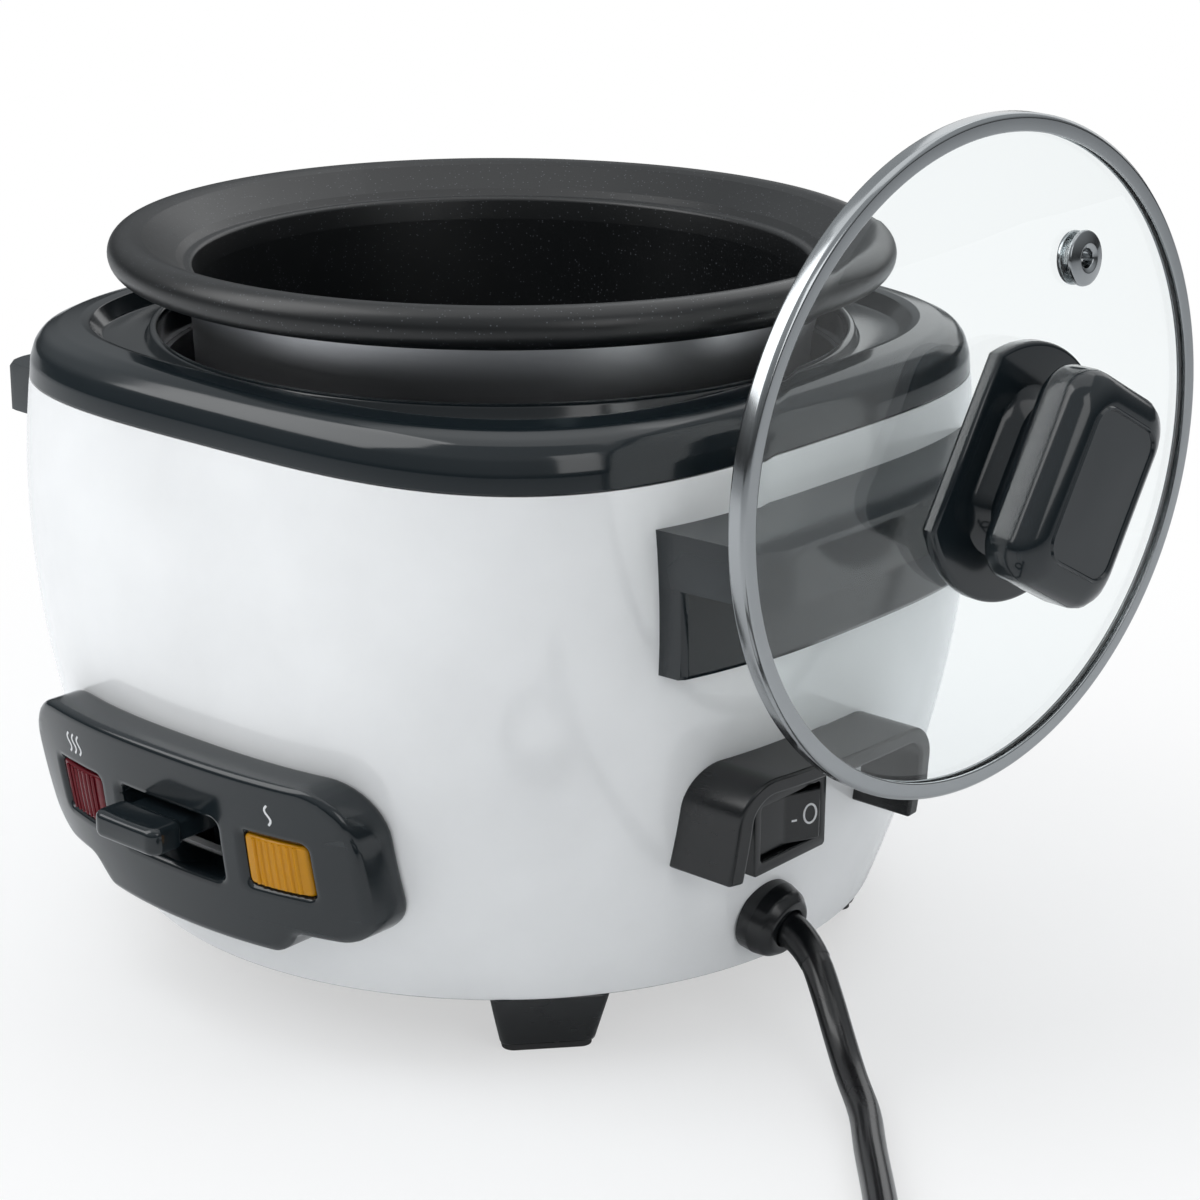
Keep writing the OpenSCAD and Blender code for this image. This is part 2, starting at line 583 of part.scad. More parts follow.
magnet_lift = (arm_end - pivot_y) * sin(lever_turn);
module magnet() color("dimgray") placed() translate([0, 0, pivot_z + arm_t / 2 + 0.8]) cylinder(h = 6.4, r = 9.5);

module thermal_fuse() color("ivory") placed() {
    translate([22, 28, plate_z - 4]) rotate([0, 90, 0]) cylinder(h = 14, r = 2, $fn = 24);
    translate([26, 26, plate_z - 4 + eps]) cube([6, 4, 4]);
}

module terminal_block() color("ivory") placed() difference() {
    translate([52, -14, foot_h + base_t]) cube([14, 30, 12]);
    for (y = [-8, 1, 10]) translate([59, y, foot_h + base_t + 8]) cylinder(h = 10, r = 2.2, $fn = 24);
}

// Leads from the terminal block to the switch, the element and the lamps
wire_d = 2;
lead_z = foot_h + base_t + 6;
leads = [
    [[66, 1, lead_z], [74, -6, lead_z + 2], [84, -14, gland_z], [gland_x - 10.4, side_y, gland_z + 1]],
    [[66, -8, lead_z], [74, -10, lead_z + 6], [78, -14, switch_z - 14], [switch_x - 31, switch_y - 7, switch_z - 3]],
    [[66, 10, lead_z], [75, 8, lead_z + 8], [78, -4, switch_z - 12], [switch_x - 31, switch_y + 7, switch_z - 3]],
    [[52, 10, lead_z], [40, 24, lead_z + 4], [20, 44, lead_z + 8], [8, 49, plate_z - 15]],
    [[52, -8, lead_z], [34, -16, lead_z - 2], [14, -30, lead_z - 2], [-4, pivot_y + 20, lead_z - 1]]];
module wiring() color("firebrick") placed() for (l = leads) tube(smooth(l, 4), wire_d, 6);

// ---- Pot ----
base_curve = 14;
function arc(cx, cz, r, a0, a1, n) = [for (i = [0 : n]) let (a = a0 + (a1 - a0) * i / n) [cx + r * cos(a), cz + r * sin(a)]];
module inner_pot() color("gray") placed() translate([0, 0, pot_z]) rotate_extrude($fn = 96) union() {
    polygon(concat([[0, 0]],
        arc(pot_base_r - base_curve, base_curve, base_curve, -90, 0, 8),
        [[pot_r, pot_h - 11], [pot_r + 1.6, pot_h - 9.5], [pot_rim_r - 8, pot_h - 8.2],
         [pot_rim_r - roll_r, pot_h - roll_r], [pot_rim_r - roll_r - 2.6, pot_h - 0.9],
         [ledge_r + 1, pot_h - 6.4], [ledge_r, pot_h - 8], [pot_r - pot_t + 0.5, pot_h - 8],
         [pot_r - pot_t, pot_h - 9.5]],
        arc(pot_base_r - base_curve, base_curve, base_curve - pot_t, 0, -90, 8),
        [[0, pot_t]]));
    translate([pot_rim_r - roll_r, pot_h - roll_r]) circle(roll_r, $fn = 32);
}

// ---- Lid ----
module lid_place() translate([lid_x, lid_y, lid_z]) rotate([0, 0, lid_turn]) rotate([0, 90, 0]) children();
module vent_place() translate([0, 0, dome_z - dome_r]) rotate([0, 0, vent_turn])
    rotate([0, asin(vent_r / dome_r), 0]) translate([0, 0, dome_r]) children();
vent_hole = 4.2;
screw_r = 2;

function dome(r0, z_top, n) = [for (i = [0 : n]) let (r = r0 * i / n) [r, z_top - dome_r + sqrt(dome_r * dome_r - r * r)]];
function backwards(v) = [for (i = [len(v) - 1 : -1 : 0]) v[i]];
module lid_glass() color("lightcyan", 0.4) placed() lid_place() difference() {
    rotate_extrude($fn = 96) polygon(concat(
        dome(lid_r - 4, dome_z, 10), [[glass_r, rim_t + glass_t], [glass_r, rim_t]],
        backwards(dome(lid_r - 4, dome_z - glass_t, 10))));
    translate([0, 0, -1]) cylinder(h = dome_z + 4, r = screw_r + 0.6, $fn = 32);
    vent_place() cylinder(h = 20, r = vent_hole, center = true, $fn = 32);
}

module lid_rim() color("silver") placed() lid_place() rotate_extrude($fn = 96) polygon([
    [lid_r - 4, 0], [lid_r - 0.8, 0], [lid_r, 0.8], [lid_r, rim_h - 0.8], [lid_r - 0.8, rim_h], [lid_r - 4, rim_h],
    [lid_r - 4, rim_h - rim_t], [glass_r, rim_h - rim_t], [glass_r, rim_t], [lid_r - 4, rim_t]]);

module lid_vent() color("silver") placed() lid_place() vent_place() rotate_extrude($fn = 48) polygon([
    [2.2, -glass_t - 1.2], [6.2, -glass_t - 1.2], [6.2, -glass_t - 0.1], [vent_hole, -glass_t - 0.1],
    [vent_hole, 0.1], [6.6, 0.1], [6.2, 1.2], [3, 1.8], [2.2, 1.4]]);

module knob_gasket() color("gray") placed() lid_place() translate([0, 0, dome_z]) difference() {
    cylinder(h = 0.5, r = 10);
    translate([0, 0, -1]) cylinder(h = 3, r = screw_r + 0.3, $fn = 32);
}

knob_z = dome_z + 0.5;
neck_h = 11;
knob_turn = -29;
module knob_place(z) lid_place() translate([0, 0, z]) rotate([0, 0, knob_turn]) children();
module knob_base() color("darkslategray") placed() knob_place(knob_z) difference() {
    union() {
        linear_extrude(4) intersection() {
            circle(30);
            square([70, 43], center = true);
        }
        linear_extrude(neck_h) rounded(34, 22, 7);
    }
    translate([0, 0, -1]) cylinder(h = neck_h + 2, r = screw_r + 0.3, $fn = 32);
}

module knob_grip() color("darkslategray") placed() knob_place(knob_z + neck_h) difference() {
    union() {
        linear_extrude(2) rounded(44, 29, 7);
        translate([0, 0, 2]) linear_extrude(knob_h - neck_h - 3.5) rounded(50, 35, 8);
        translate([0, 0, 2]) linear_extrude(knob_h - neck_h - 2) rounded(47, 32, 7);
    }
    translate([0, 0, -1]) cylinder(h = 9, r = screw_r, $fn = 32);
}

module knob_screw() color("silver") placed() lid_place() {
    translate([0, 0, dome_z - glass_t - 2.1]) cylinder(h = 2, r = 5, $fn = 32);
    translate([0, 0, dome_z - glass_t - 0.5]) cylinder(h = glass_t + neck_h + 8, r = screw_r, $fn = 32);
}

outer_shell();
top_ring();
inner_liner();
base_plate();
feet();
foot_pads();
foot_screws();
foot_nuts();
control_panel();
panel_screws();
red_lens();
amber_lens();
indicator_lamps();
cook_lever();
lever_arm();
lever_bracket();
lever_pin();
lever_spring();
micro_switch();
right_handle();
left_handle();
handle_screws();
cord_bracket();
switch_housing();
rocker();
switch_tabs();
cable_gland();
gland_nut();
mains_cord();
cord_coil();
plug_body();
plug_pins();
heating_plate();
heating_element();
element_posts();
plate_posts();
thermostat_housing();
thermostat_plunger();
plunger_spring();
magnet();
thermal_fuse();
terminal_block();
wiring();
inner_pot();
lid_glass();
lid_rim();
lid_vent();
knob_gasket();
knob_base();
knob_grip();
knob_screw();
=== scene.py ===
import math

import bmesh
import bpy
from bpy.props import FloatProperty, FloatVectorProperty, IntProperty, PointerProperty
from mathutils import Matrix, Vector


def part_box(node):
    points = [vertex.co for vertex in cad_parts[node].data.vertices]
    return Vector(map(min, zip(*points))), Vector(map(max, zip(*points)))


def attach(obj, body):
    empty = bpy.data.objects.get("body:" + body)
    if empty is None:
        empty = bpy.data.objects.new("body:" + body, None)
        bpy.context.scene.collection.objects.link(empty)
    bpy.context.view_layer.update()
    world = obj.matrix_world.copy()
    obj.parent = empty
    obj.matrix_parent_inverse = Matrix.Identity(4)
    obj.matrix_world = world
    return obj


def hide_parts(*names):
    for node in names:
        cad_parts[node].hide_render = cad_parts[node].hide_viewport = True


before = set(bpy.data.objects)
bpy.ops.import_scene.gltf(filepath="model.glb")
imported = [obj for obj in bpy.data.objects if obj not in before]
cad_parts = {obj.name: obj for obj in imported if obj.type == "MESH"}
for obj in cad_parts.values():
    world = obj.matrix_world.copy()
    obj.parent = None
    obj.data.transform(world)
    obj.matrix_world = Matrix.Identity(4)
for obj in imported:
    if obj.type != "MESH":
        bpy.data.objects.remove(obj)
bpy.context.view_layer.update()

bl_info = {
    "name": "Rice cooker",
    "version": (1, 0, 0),
    "blender": (4, 5, 0),
    "location": "View3D > Sidebar > Rice cooker",
    "description": "Builds the visible pieces of a rice cooker round its frame",
    "category": "Add Mesh",
}

MM = 0.001
POT_LOW, POT_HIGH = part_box("inner_pot")
OFF_EDGE = 0.013  # keeps a cut off the outline's own points
AXIS = Vector(((POT_LOW[0] + POT_HIGH[0]) / 2, (POT_LOW[1] + POT_HIGH[1]) / 2, 0))


# ---------------------------------------------------------------- sizes
class CookerSizes(bpy.types.PropertyGroup):
    """Sizes of the visible pieces, in millimetres."""

    top_w: FloatProperty(name="Top half width", description="Half width of the shell at its top", default=103.5)
    belly_w: FloatProperty(name="Belly half width", description="Half width of the shell at its belly", default=108.0)
    bottom_w: FloatProperty(name="Bottom half width", description="Half width of the shell at its bottom",
                            default=99.0)
    foot_h: FloatProperty(name="Foot height", description="Height of the shell's lower edge", default=16.0)
    shell_z: FloatProperty(name="Shell top", description="Height of the shell's upper edge", default=147.0)
    top_square: FloatProperty(name="Squareness", description="Squareness of the shell's top, 2 is a circle",
                              default=3.4)
    shell_t: FloatProperty(name="Shell wall", description="Thickness of the shell's wall", default=2.5)
    ring_h: FloatProperty(name="Ring height", description="Height of the dark ring", default=14.0)
    pot_rim_r: FloatProperty(name="Pot rim radius", description="Radius over the rolled rim", default=98.5)
    pot_h: FloatProperty(name="Pot height", description="Height of the pot", default=111.5)
    panel_proud: FloatProperty(name="Panel stand-off", description="How far the panel stands off the shell",
                               default=12.0)
    lid_r: FloatProperty(name="Lid radius", description="Radius of the lid's steel rim", default=79.3)
    dome_h: FloatProperty(name="Dome height", description="Rise of the glass", default=6.0)
    cord_d: FloatProperty(name="Cord diameter", description="Diameter of the mains cord", default=7.5)
    turns: IntProperty(name="Facets round", description="Divisions round the body", default=224, min=48)


class CookerColours(bpy.types.PropertyGroup):
    """Base colours of the finishes."""

    white: FloatVectorProperty(name="White gloss", description="Shell", subtype="COLOR", size=3,
                               default=(0.89, 0.90, 0.905))
    charcoal: FloatVectorProperty(name="Charcoal gloss", description="Ring, handles and panel",
                                  subtype="COLOR", size=3, default=(0.009, 0.0135, 0.0165))
    black: FloatVectorProperty(name="Black", description="Bracket, switch and feet", subtype="COLOR", size=3,
                               default=(0.004, 0.005, 0.006))
    nonstick: FloatVectorProperty(name="Non-stick", description="Inside of the pot", subtype="COLOR", size=3,
                                  default=(0.004, 0.0048, 0.0055))
    cord: FloatVectorProperty(name="Cord", description="Mains cord", subtype="COLOR", size=3,
                              default=(0.010, 0.010, 0.011))
    red: FloatVectorProperty(name="Red lens", description="Cooking light", subtype="COLOR", size=3,
                             default=(0.11, 0.004, 0.009))
    amber: FloatVectorProperty(name="Amber lens", description="Warming light", subtype="COLOR", size=3,
                               default=(0.52, 0.23, 0.002))


def sizes():
    return bpy.context.scene.cooker_sizes


def colours():
    return bpy.context.scene.cooker_colours


# ---------------------------------------------------------------- places and shapes
def spot(x, y, z):
    """A point in millimetres from the body's axis, as metres in the frame."""
    return AXIS + Vector((x, y, z)) * MM


def shell_w(z):
    """Half width of the shell at a height: a curve through its bottom, belly and top."""
    s = sizes()
    belly_z = (s.foot_h + s.shell_z) / 2
    pull = (s.top_w - s.belly_w) / (s.shell_z - belly_z) - (s.belly_w - s.bottom_w) / (belly_z - s.foot_h)
    rise = s.bottom_w + (s.belly_w - s.bottom_w) * (z - s.foot_h) / (belly_z - s.foot_h)
    return rise + pull / (s.shell_z - s.foot_h) * (z - s.foot_h) * (z - belly_z)


def shell_n(z):
    """Squareness of the shell at a height, from a circle at the bottom."""
    s = sizes()
    return 2 + (s.top_square - 2) * (z - s.foot_h) / (s.shell_z - s.foot_h)


def square_r(w, n, a):
    """Radius at angle a of a rounded square of half width w."""
    return w / (abs(math.cos(a)) ** n + abs(math.sin(a)) ** n) ** (1 / n)


def shell_r(a, z):
    """Radius of the shell at an angle and height."""
    return square_r(shell_w(z), shell_n(z), a)


def reach(t, z, off=0.0):
    """Distance from the middle plane to the shell, plus a stand-off, at t along a side."""
    a = math.atan2(t, shell_w(z))
    r = shell_w(z) + off
    for _ in range(12):
        r = shell_r(a, z) + off
        a = math.asin(max(-0.99, min(0.99, t / r)))
    return r * math.cos(a)


def turned(x, y, a):
    """A flat point turned by an angle."""
    return x * math.cos(a) - y * math.sin(a), x * math.sin(a) + y * math.cos(a)


def round_points(r, count):
    """Evenly spaced angles of a turn, and the flat point at radius r of each."""
    angles = [2 * math.pi * i / count for i in range(count)]
    return [(a, r * math.cos(a), r * math.sin(a)) for a in angles]


def fillet(corners, closed=True, steps=6):
    """Points of a flat outline whose corners (x, y, radius) are rounded."""
    out = []
    n = len(corners)
    for i, (x, y, r) in enumerate(corners):
        p = Vector((x, y))
        if r <= 0 or (not closed and i in (0, n - 1)):
            out.append(p)
            continue
        a = Vector(corners[i - 1][:2]) - p
        b = Vector(corners[(i + 1) % n][:2]) - p
        if a.length < 1e-9 or b.length < 1e-9:
            continue
        cosine = max(-1, min(1, a.normalized().dot(b.normalized())))
        half = math.acos(cosine) / 2
        if half > 1.56:
            out.append(p)
            continue
        d = min(r / math.tan(half), a.length * 0.49, b.length * 0.49)
        r = d * math.tan(half)
        mid = p + (a.normalized() + b.normalized()).normalized() * (r / math.sin(half))
        start = (p + a.normalized() * d) - mid
        end = (p + b.normalized() * d) - mid
        turn = math.atan2(start.x * end.y - start.y * end.x, start.dot(end))
        for k in range(steps + 1):
            t = turn * k / steps
            out.append(mid + Vector(turned(start.x, start.y, t)))
    return out


def box_outline(w, h, r, cx=0.0, cy=0.0, steps=8):
    """A rectangle with rounded corners."""
    sides = ((-1, -1), (1, -1), (1, 1), (-1, 1))
    return fillet([(cx + i * w / 2, cy + j * h / 2, r) for i, j in sides], steps=steps)


def skin(bm, rings, loop=False, caps=True, tag=0):
    """Faces between rows of points; a loop joins the last row to the first."""
    rows = [[bm.verts.new(p) for p in ring] for ring in rings]
    n = len(rows[0])
    for i in range(len(rows) if loop else len(rows) - 1):
        a, b = rows[i], rows[(i + 1) % len(rows)]
        for j in range(n):
            f = bm.faces.new((a[j], a[(j + 1) % n], b[(j + 1) % n], b[j]))
            f.material_index = tag
    if caps and not loop:
        bm.faces.new(list(reversed(rows[0])))
        bm.faces.new(rows[-1])
    return rows


def lathe(bm, profile, steps, place=spot, closed=True, tag=0):
    """Turns a profile (radius, height) round an axis; points at radius 0 are merged."""
    rows = []
    for _, x, y in round_points(1.0, steps):
        rows.append([bm.verts.new(place(r * x, r * y, z)) for r, z in profile])
    n = len(profile)
    for i in range(steps):
        a, b = rows[i], rows[(i + 1) % steps]
        for j in range(n if closed else n - 1):
            f = bm.faces.new((a[j], b[j], b[(j + 1) % n], a[(j + 1) % n]))
            f.material_index = tag(j) if callable(tag) else tag
    bmesh.ops.remove_doubles(bm, verts=bm.verts, dist=1e-7)
    bmesh.ops.dissolve_degenerate(bm, edges=bm.edges, dist=1e-7)


def shade(bm, angle):
    """Smooth faces, with edges kept sharp past an angle."""
    bmesh.ops.recalc_face_normals(bm, faces=bm.faces)
    limit = math.radians(angle)
    for f in bm.faces:
        f.smooth = True
    for e in bm.edges:
        e.smooth = not (len(e.link_faces) == 2 and e.calc_face_angle(0) > limit)


def to_mesh(bm, name):
    """A new mesh of bm, which is freed."""
    mesh = bpy.data.meshes.new(name)
    bm.to_mesh(mesh)
    bm.free()
    return mesh


def from_mesh(mesh):
    """A new bmesh of a mesh, which is removed."""
    bm = bmesh.new()
    bm.from_mesh(mesh)
    bpy.data.meshes.remove(mesh)
    return bm


def evaluated(ob):
    """The mesh that an object's curve or modifiers make."""
    bpy.context.view_layer.update()
    return bpy.data.meshes.new_from_object(ob.evaluated_get(bpy.context.evaluated_depsgraph_get()))


def in_scene(name, data):
    """A new object of the scene."""
    ob = bpy.data.objects.new(name, data)
    bpy.context.scene.collection.objects.link(ob)
    return ob


def grid_cuts(bm, step):
    """Cuts bm into squares of about a step, so that it can bend."""
    for axis in (0, 1):
        values = [v.co[axis] for v in bm.verts]
        lo, hi = min(values), max(values)
        n = max(1, int((hi - lo) / step))
        for i in range(1, n):
            co, no = [0, 0, 0], [0, 0, 0]
            co[axis], no[axis] = lo + (hi - lo) * i / n + OFF_EDGE, 1
            bmesh.ops.bisect_plane(bm, geom=bm.verts[:] + bm.edges[:] + bm.faces[:], plane_co=co, plane_no=no)


def plate(outline, holes, depth, bevel, grid=None):
    """A flat plate with rounded edges, its outline in X and Y, its thickness in Z from 0 to depth."""
    data = bpy.data.curves.new("plate", "CURVE")
    data.dimensions = "2D"
    data.fill_mode = "BOTH"
    for path in [outline] + list(holes):
        spline = data.splines.new("POLY")
        spline.points.add(len(path) - 1)
        for point, p in zip(spline.points, path):
            point.co = (p[0], p[1], 0, 1)
        spline.use_cyclic_u = True
    data.extrude = depth / 2 - bevel
    data.bevel_depth = bevel
    data.bevel_resolution = 3
    data.offset = -bevel
    ob = in_scene("plate", data)
    bm = from_mesh(evaluated(ob))
    bpy.data.objects.remove(ob)
    bpy.data.curves.remove(data)
    bmesh.ops.remove_doubles(bm, verts=bm.verts, dist=0.002)
    bmesh.ops.translate(bm, verts=bm.verts, vec=(0, 0, depth / 2))
    if grid:
        grid_cuts(bm, grid)
    return bm


def move(bm, fn):
    """Puts every point where fn takes it."""
    for v in bm.verts:
        v.co = fn(v.co)


def join(bm, other):
    """Adds other to bm."""
    mesh = to_mesh(other, "join")
    bm.from_mesh(mesh)
    bpy.data.meshes.remove(mesh)


def piece(name, bm, finishes, body, replaces, angle=32):
    """Makes a finished piece of bm that rides on a body in place of the frame's nodes."""
    shade(bm, angle)
    mesh = to_mesh(bm, name)
    for finish in finishes if isinstance(finishes, list) else [finishes]:
        mesh.materials.append(finish)
    ob = in_scene(name, mesh)
    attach(ob, body)
    if replaces:
        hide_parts(*replaces)
    return ob


def bevelled(ob, width, angle):
    """Rounds a finished piece's sharp edges."""
    mod = ob.modifiers.new("edges", "BEVEL")
    mod.width = width * MM
    mod.segments = 3
    mod.limit_method = "ANGLE"
    mod.angle_limit = math.radians(angle)


def cut(bm, cutters):
    """bm with each cutter's solid taken away."""
    bmesh.ops.recalc_face_normals(bm, faces=bm.faces)
    ob = in_scene("cut", to_mesh(bm, "cut"))
    others = []
    for cutter in cutters:
        bmesh.ops.recalc_face_normals(cutter, faces=cutter.faces)
        others.append(in_scene("cutter", to_mesh(cutter, "cutter")))
        mod = ob.modifiers.new("cut", "BOOLEAN")
        mod.operation = "DIFFERENCE"
        mod.solver = "EXACT"
        mod.object = others[-1]
    mesh = evaluated(ob)
    for o in others + [ob]:
        bpy.data.objects.remove(o)
    return from_mesh(mesh)


# ---------------------------------------------------------------- nodes
def fill(tree, made, inputs):
    """Gives a node's inputs their values, or links them to the sockets given."""
    for key, value in inputs.items():
        if isinstance(value, bpy.types.NodeSocket):
            tree.links.new(value, made.inputs[key])
        else:
            made.inputs[key].default_value = value
    return made


def node(tree, kind, inputs=None, **settings):
    """A new node of a tree, with its settings and inputs."""
    made = tree.nodes.new(kind)
    for name, value in settings.items():
        setattr(made, name, value)
    return fill(tree, made, inputs or {})


def maths(tree, operation, *values):
    return node(tree, "ShaderNodeMath", dict(enumerate(values)), operation=operation).outputs[0]


def span(tree, value, low, high, to_low=0.0, to_high=1.0, kind="LINEAR"):
    """Maps a value from one span onto another."""
    inputs = {"Value": value, "From Min": low, "From Max": high, "To Min": to_low, "To Max": to_high}
    return node(tree, "ShaderNodeMapRange", inputs, interpolation_type=kind).outputs[0]


def noise(tree, vector, scale, detail=2):
    return node(tree, "ShaderNodeTexNoise", {"Vector": vector, "Scale": scale, "Detail": detail}).outputs[0]


def blend(tree, share, first, second):
    """Mixes two colours."""
    return node(tree, "ShaderNodeMix", {"Factor": share, 6: first, 7: second}, data_type="RGBA").outputs[2]


def scaled(tree, colour, by):
    return node(tree, "ShaderNodeVectorMath", {0: colour, "Scale": by}, operation="SCALE").outputs[0]


def here(tree):
    return node(tree, "ShaderNodeTexCoord").outputs["Object"]


def seen_directly(tree):
    """1 for what the camera sees, straight or through glass."""
    path = node(tree, "ShaderNodeLightPath").outputs
    return maths(tree, "MAXIMUM", path["Is Camera Ray"], path["Is Transmission Ray"])


def group(kind, name, inputs, outputs):
    """A new node group of a kind, with its input and output nodes."""
    g = bpy.data.node_groups.new(name, kind)
    for label, socket, *value in inputs:
        s = g.interface.new_socket(label, in_out="INPUT", socket_type="NodeSocket" + socket)
        if value:
            s.default_value = value[0]
    for label, socket in outputs:
        g.interface.new_socket(label, in_out="OUTPUT", socket_type="NodeSocket" + socket)
    return g, node(g, "NodeGroupInput").outputs, node(g, "NodeGroupOutput")


# ---------------------------------------------------------------- repeated pieces
def set_copies(tree, into, out, points, **turn):
    """Ends a tree with real copies of its mesh on points."""
    inputs = {"Points": points, "Instance": into["Geometry"], **turn}
    copies = node(tree, "GeometryNodeInstanceOnPoints", inputs).outputs[0]
    real = node(tree, "GeometryNodeRealizeInstances", {0: copies}).outputs[0]
    paint = node(tree, "GeometryNodeSetMaterial", {"Geometry": real, "Material": into["Finish"]})
    fill(tree, out, {0: paint.outputs[0]})
    return tree


def ring_tree():
    """Node tree that sets copies of its own mesh round a circle."""
    tree = bpy.data.node_groups.get("set_round_a_ring")
    if tree:
        return tree
    tree, into, out = group("GeometryNodeTree", "set_round_a_ring",
                            [("Geometry", "Geometry"), ("Count", "Int"), ("Radius", "Float"), ("Start", "Float"),
                             ("Finish", "Material")], [("Geometry", "Geometry")])
    circle = node(tree, "GeometryNodeMeshCircle", {"Vertices": into["Count"], "Radius": into["Radius"]})
    start = node(tree, "ShaderNodeCombineXYZ", {"Z": into["Start"]}).outputs[0]
    turned_ring = node(tree, "GeometryNodeTransform", {"Geometry": circle.outputs["Mesh"], "Rotation": start})
    step = maths(tree, "DIVIDE", 2 * math.pi, into["Count"])
    index = node(tree, "GeometryNodeInputIndex").outputs[0]
    angle = maths(tree, "MULTIPLY_ADD", index, step, into["Start"])
    facing = node(tree, "ShaderNodeCombineXYZ", {"Z": angle}).outputs[0]
    return set_copies(tree, into, out, turned_ring.outputs[0], Rotation=facing)


def row_tree():
    """Node tree that sets copies of its own mesh in a straight row."""
    tree = bpy.data.node_groups.get("set_in_a_row")
    if tree:
        return tree
    tree, into, out = group("GeometryNodeTree", "set_in_a_row",
                            [("Geometry", "Geometry"), ("Count", "Int"), ("Step", "Vector"), ("Finish", "Material")],
                            [("Geometry", "Geometry")])
    line = node(tree, "GeometryNodeMeshLine", {"Count": into["Count"], "Offset": into["Step"]}).outputs[0]
    return set_copies(tree, into, out, line)


def repeated(bm, tree, values, angle=32):
    """The mesh that a node tree makes of bm, ready for more work."""
    shade(bm, angle)
    ob = in_scene("one", to_mesh(bm, "one"))
    mod = ob.modifiers.new("repeat", "NODES")
    mod.node_group = tree
    for item in tree.interface.items_tree:
        if item.in_out == "INPUT" and item.name in values:
            mod[item.identifier] = values[item.name]
    mesh = evaluated(ob)
    bpy.data.objects.remove(ob)
    return from_mesh(mesh)


# ---------------------------------------------------------------- finishes
def moulded_group():
    """Moulded or painted skin: fine grain, faint dust, handling marks and worn edges."""
    g = bpy.data.node_groups.get("moulded_skin")
    if g:
        return g
    g, into, out = group("ShaderNodeTree", "moulded_skin",
                         [("Colour", "Color", (0.5, 0.5, 0.5, 1)), ("Worn colour", "Color", (0.6, 0.6, 0.6, 1)),
                          ("Grain", "Float", 900.0), ("Marks", "Float", 0.3), ("Smoothness", "Float", 0.2),
                          ("Wear", "Float", 0.3)],
                         [("Colour", "Color"), ("Roughness", "Float"), ("Height", "Float")])
    where = here(g)
    dust = span(g, noise(g, where, 22, 5), 0.3, 0.7)
    smear = node(g, "ShaderNodeMapping", {"Vector": where, "Scale": (180, 180, 1100)}).outputs[0]
    hair = span(g, noise(g, smear, 1, 3), 0.60, 0.78)
    marks = maths(g, "MULTIPLY", maths(g, "MULTIPLY_ADD", hair, 0.45, dust), into["Marks"])
    rough = maths(g, "MULTIPLY_ADD", marks, 0.35, into["Smoothness"])
    edges = span(g, node(g, "ShaderNodeNewGeometry").outputs["Pointiness"], 0.53, 0.62)
    worn = maths(g, "MULTIPLY", edges, into["Wear"])
    colour = blend(g, worn, into["Colour"], into["Worn colour"])
    tone = span(g, dust, 0.0, 1.0, 0.94, 1.03)
    fill(g, out, {"Colour": scaled(g, colour, tone), "Roughness": rough, "Height": noise(g, where, into["Grain"], 4)})
    return g


def metal_group():
    """Worked metal: fine lines along one direction, soft stains and changing roughness."""
    g = bpy.data.node_groups.get("worked_metal")
    if g:
        return g
    g, into, out = group("ShaderNodeTree", "worked_metal",
                         [("Colour", "Color", (0.6, 0.6, 0.6, 1)), ("Lines", "Vector", (60, 60, 2200)),
                          ("Smoothness", "Float", 0.25), ("Stain", "Float", 0.3)],
                         [("Colour", "Color"), ("Roughness", "Float"), ("Height", "Float")])
    where = here(g)
    stretch = node(g, "ShaderNodeVectorMath", {0: where, 1: into["Lines"]}, operation="MULTIPLY").outputs[0]
    lines = noise(g, stretch, 1, 4)
    stain = maths(g, "MULTIPLY", noise(g, where, 30, 4), into["Stain"])
    rough = maths(g, "MULTIPLY_ADD", stain, 0.3, maths(g, "MULTIPLY_ADD", lines, 0.12, into["Smoothness"]))
    colour = scaled(g, into["Colour"], maths(g, "SUBTRACT", 1.05, stain))
    fill(g, out, {"Colour": colour, "Roughness": rough, "Height": lines})
    return g


def material(name):
    """The finish of that name, and its shader when it is new and still plain."""
    name = "finish_" + name
    m = bpy.data.materials.get(name)
    if m:
        return m, None
    m = bpy.data.materials.new(name)
    m.use_nodes = True
    return m, m.node_tree.nodes["Principled BSDF"]


def dress(m, bsdf, inputs, height, strength, distance):
    """Fills the shader's own sockets and bumps it."""
    bump = node(m.node_tree, "ShaderNodeBump", {"Strength": strength, "Distance": distance, "Height": height})
    fill(m.node_tree, bsdf, {**inputs, "Normal": bump.outputs[0]})
    return m


def skin_sockets(m, colour, worn, grain, marks, smooth, wear):
    """The moulded skin's colour, roughness and height, placed in a finish with its own values."""
    inputs = {"Colour": (*colour, 1), "Worn colour": (*worn, 1), "Grain": grain, "Marks": marks,
              "Smoothness": smooth, "Wear": wear}
    return node(m.node_tree, "ShaderNodeGroup", inputs, node_tree=moulded_group()).outputs


def moulded(name, colour, worn, grain=900.0, marks=0.3, smooth=0.2, wear=0.3, bumpy=0.1, coat=0.0):
    m, bsdf = material(name)
    if not bsdf:
        return m
    g = skin_sockets(m, colour, worn, grain, marks, smooth, wear)
    inputs = {"Base Color": g["Colour"], "Roughness": g["Roughness"]}
    if coat:
        inputs.update({"Coat Weight": coat, "Coat Roughness": 0.06})
    return dress(m, bsdf, inputs, g["Height"], bumpy, 0.0001)


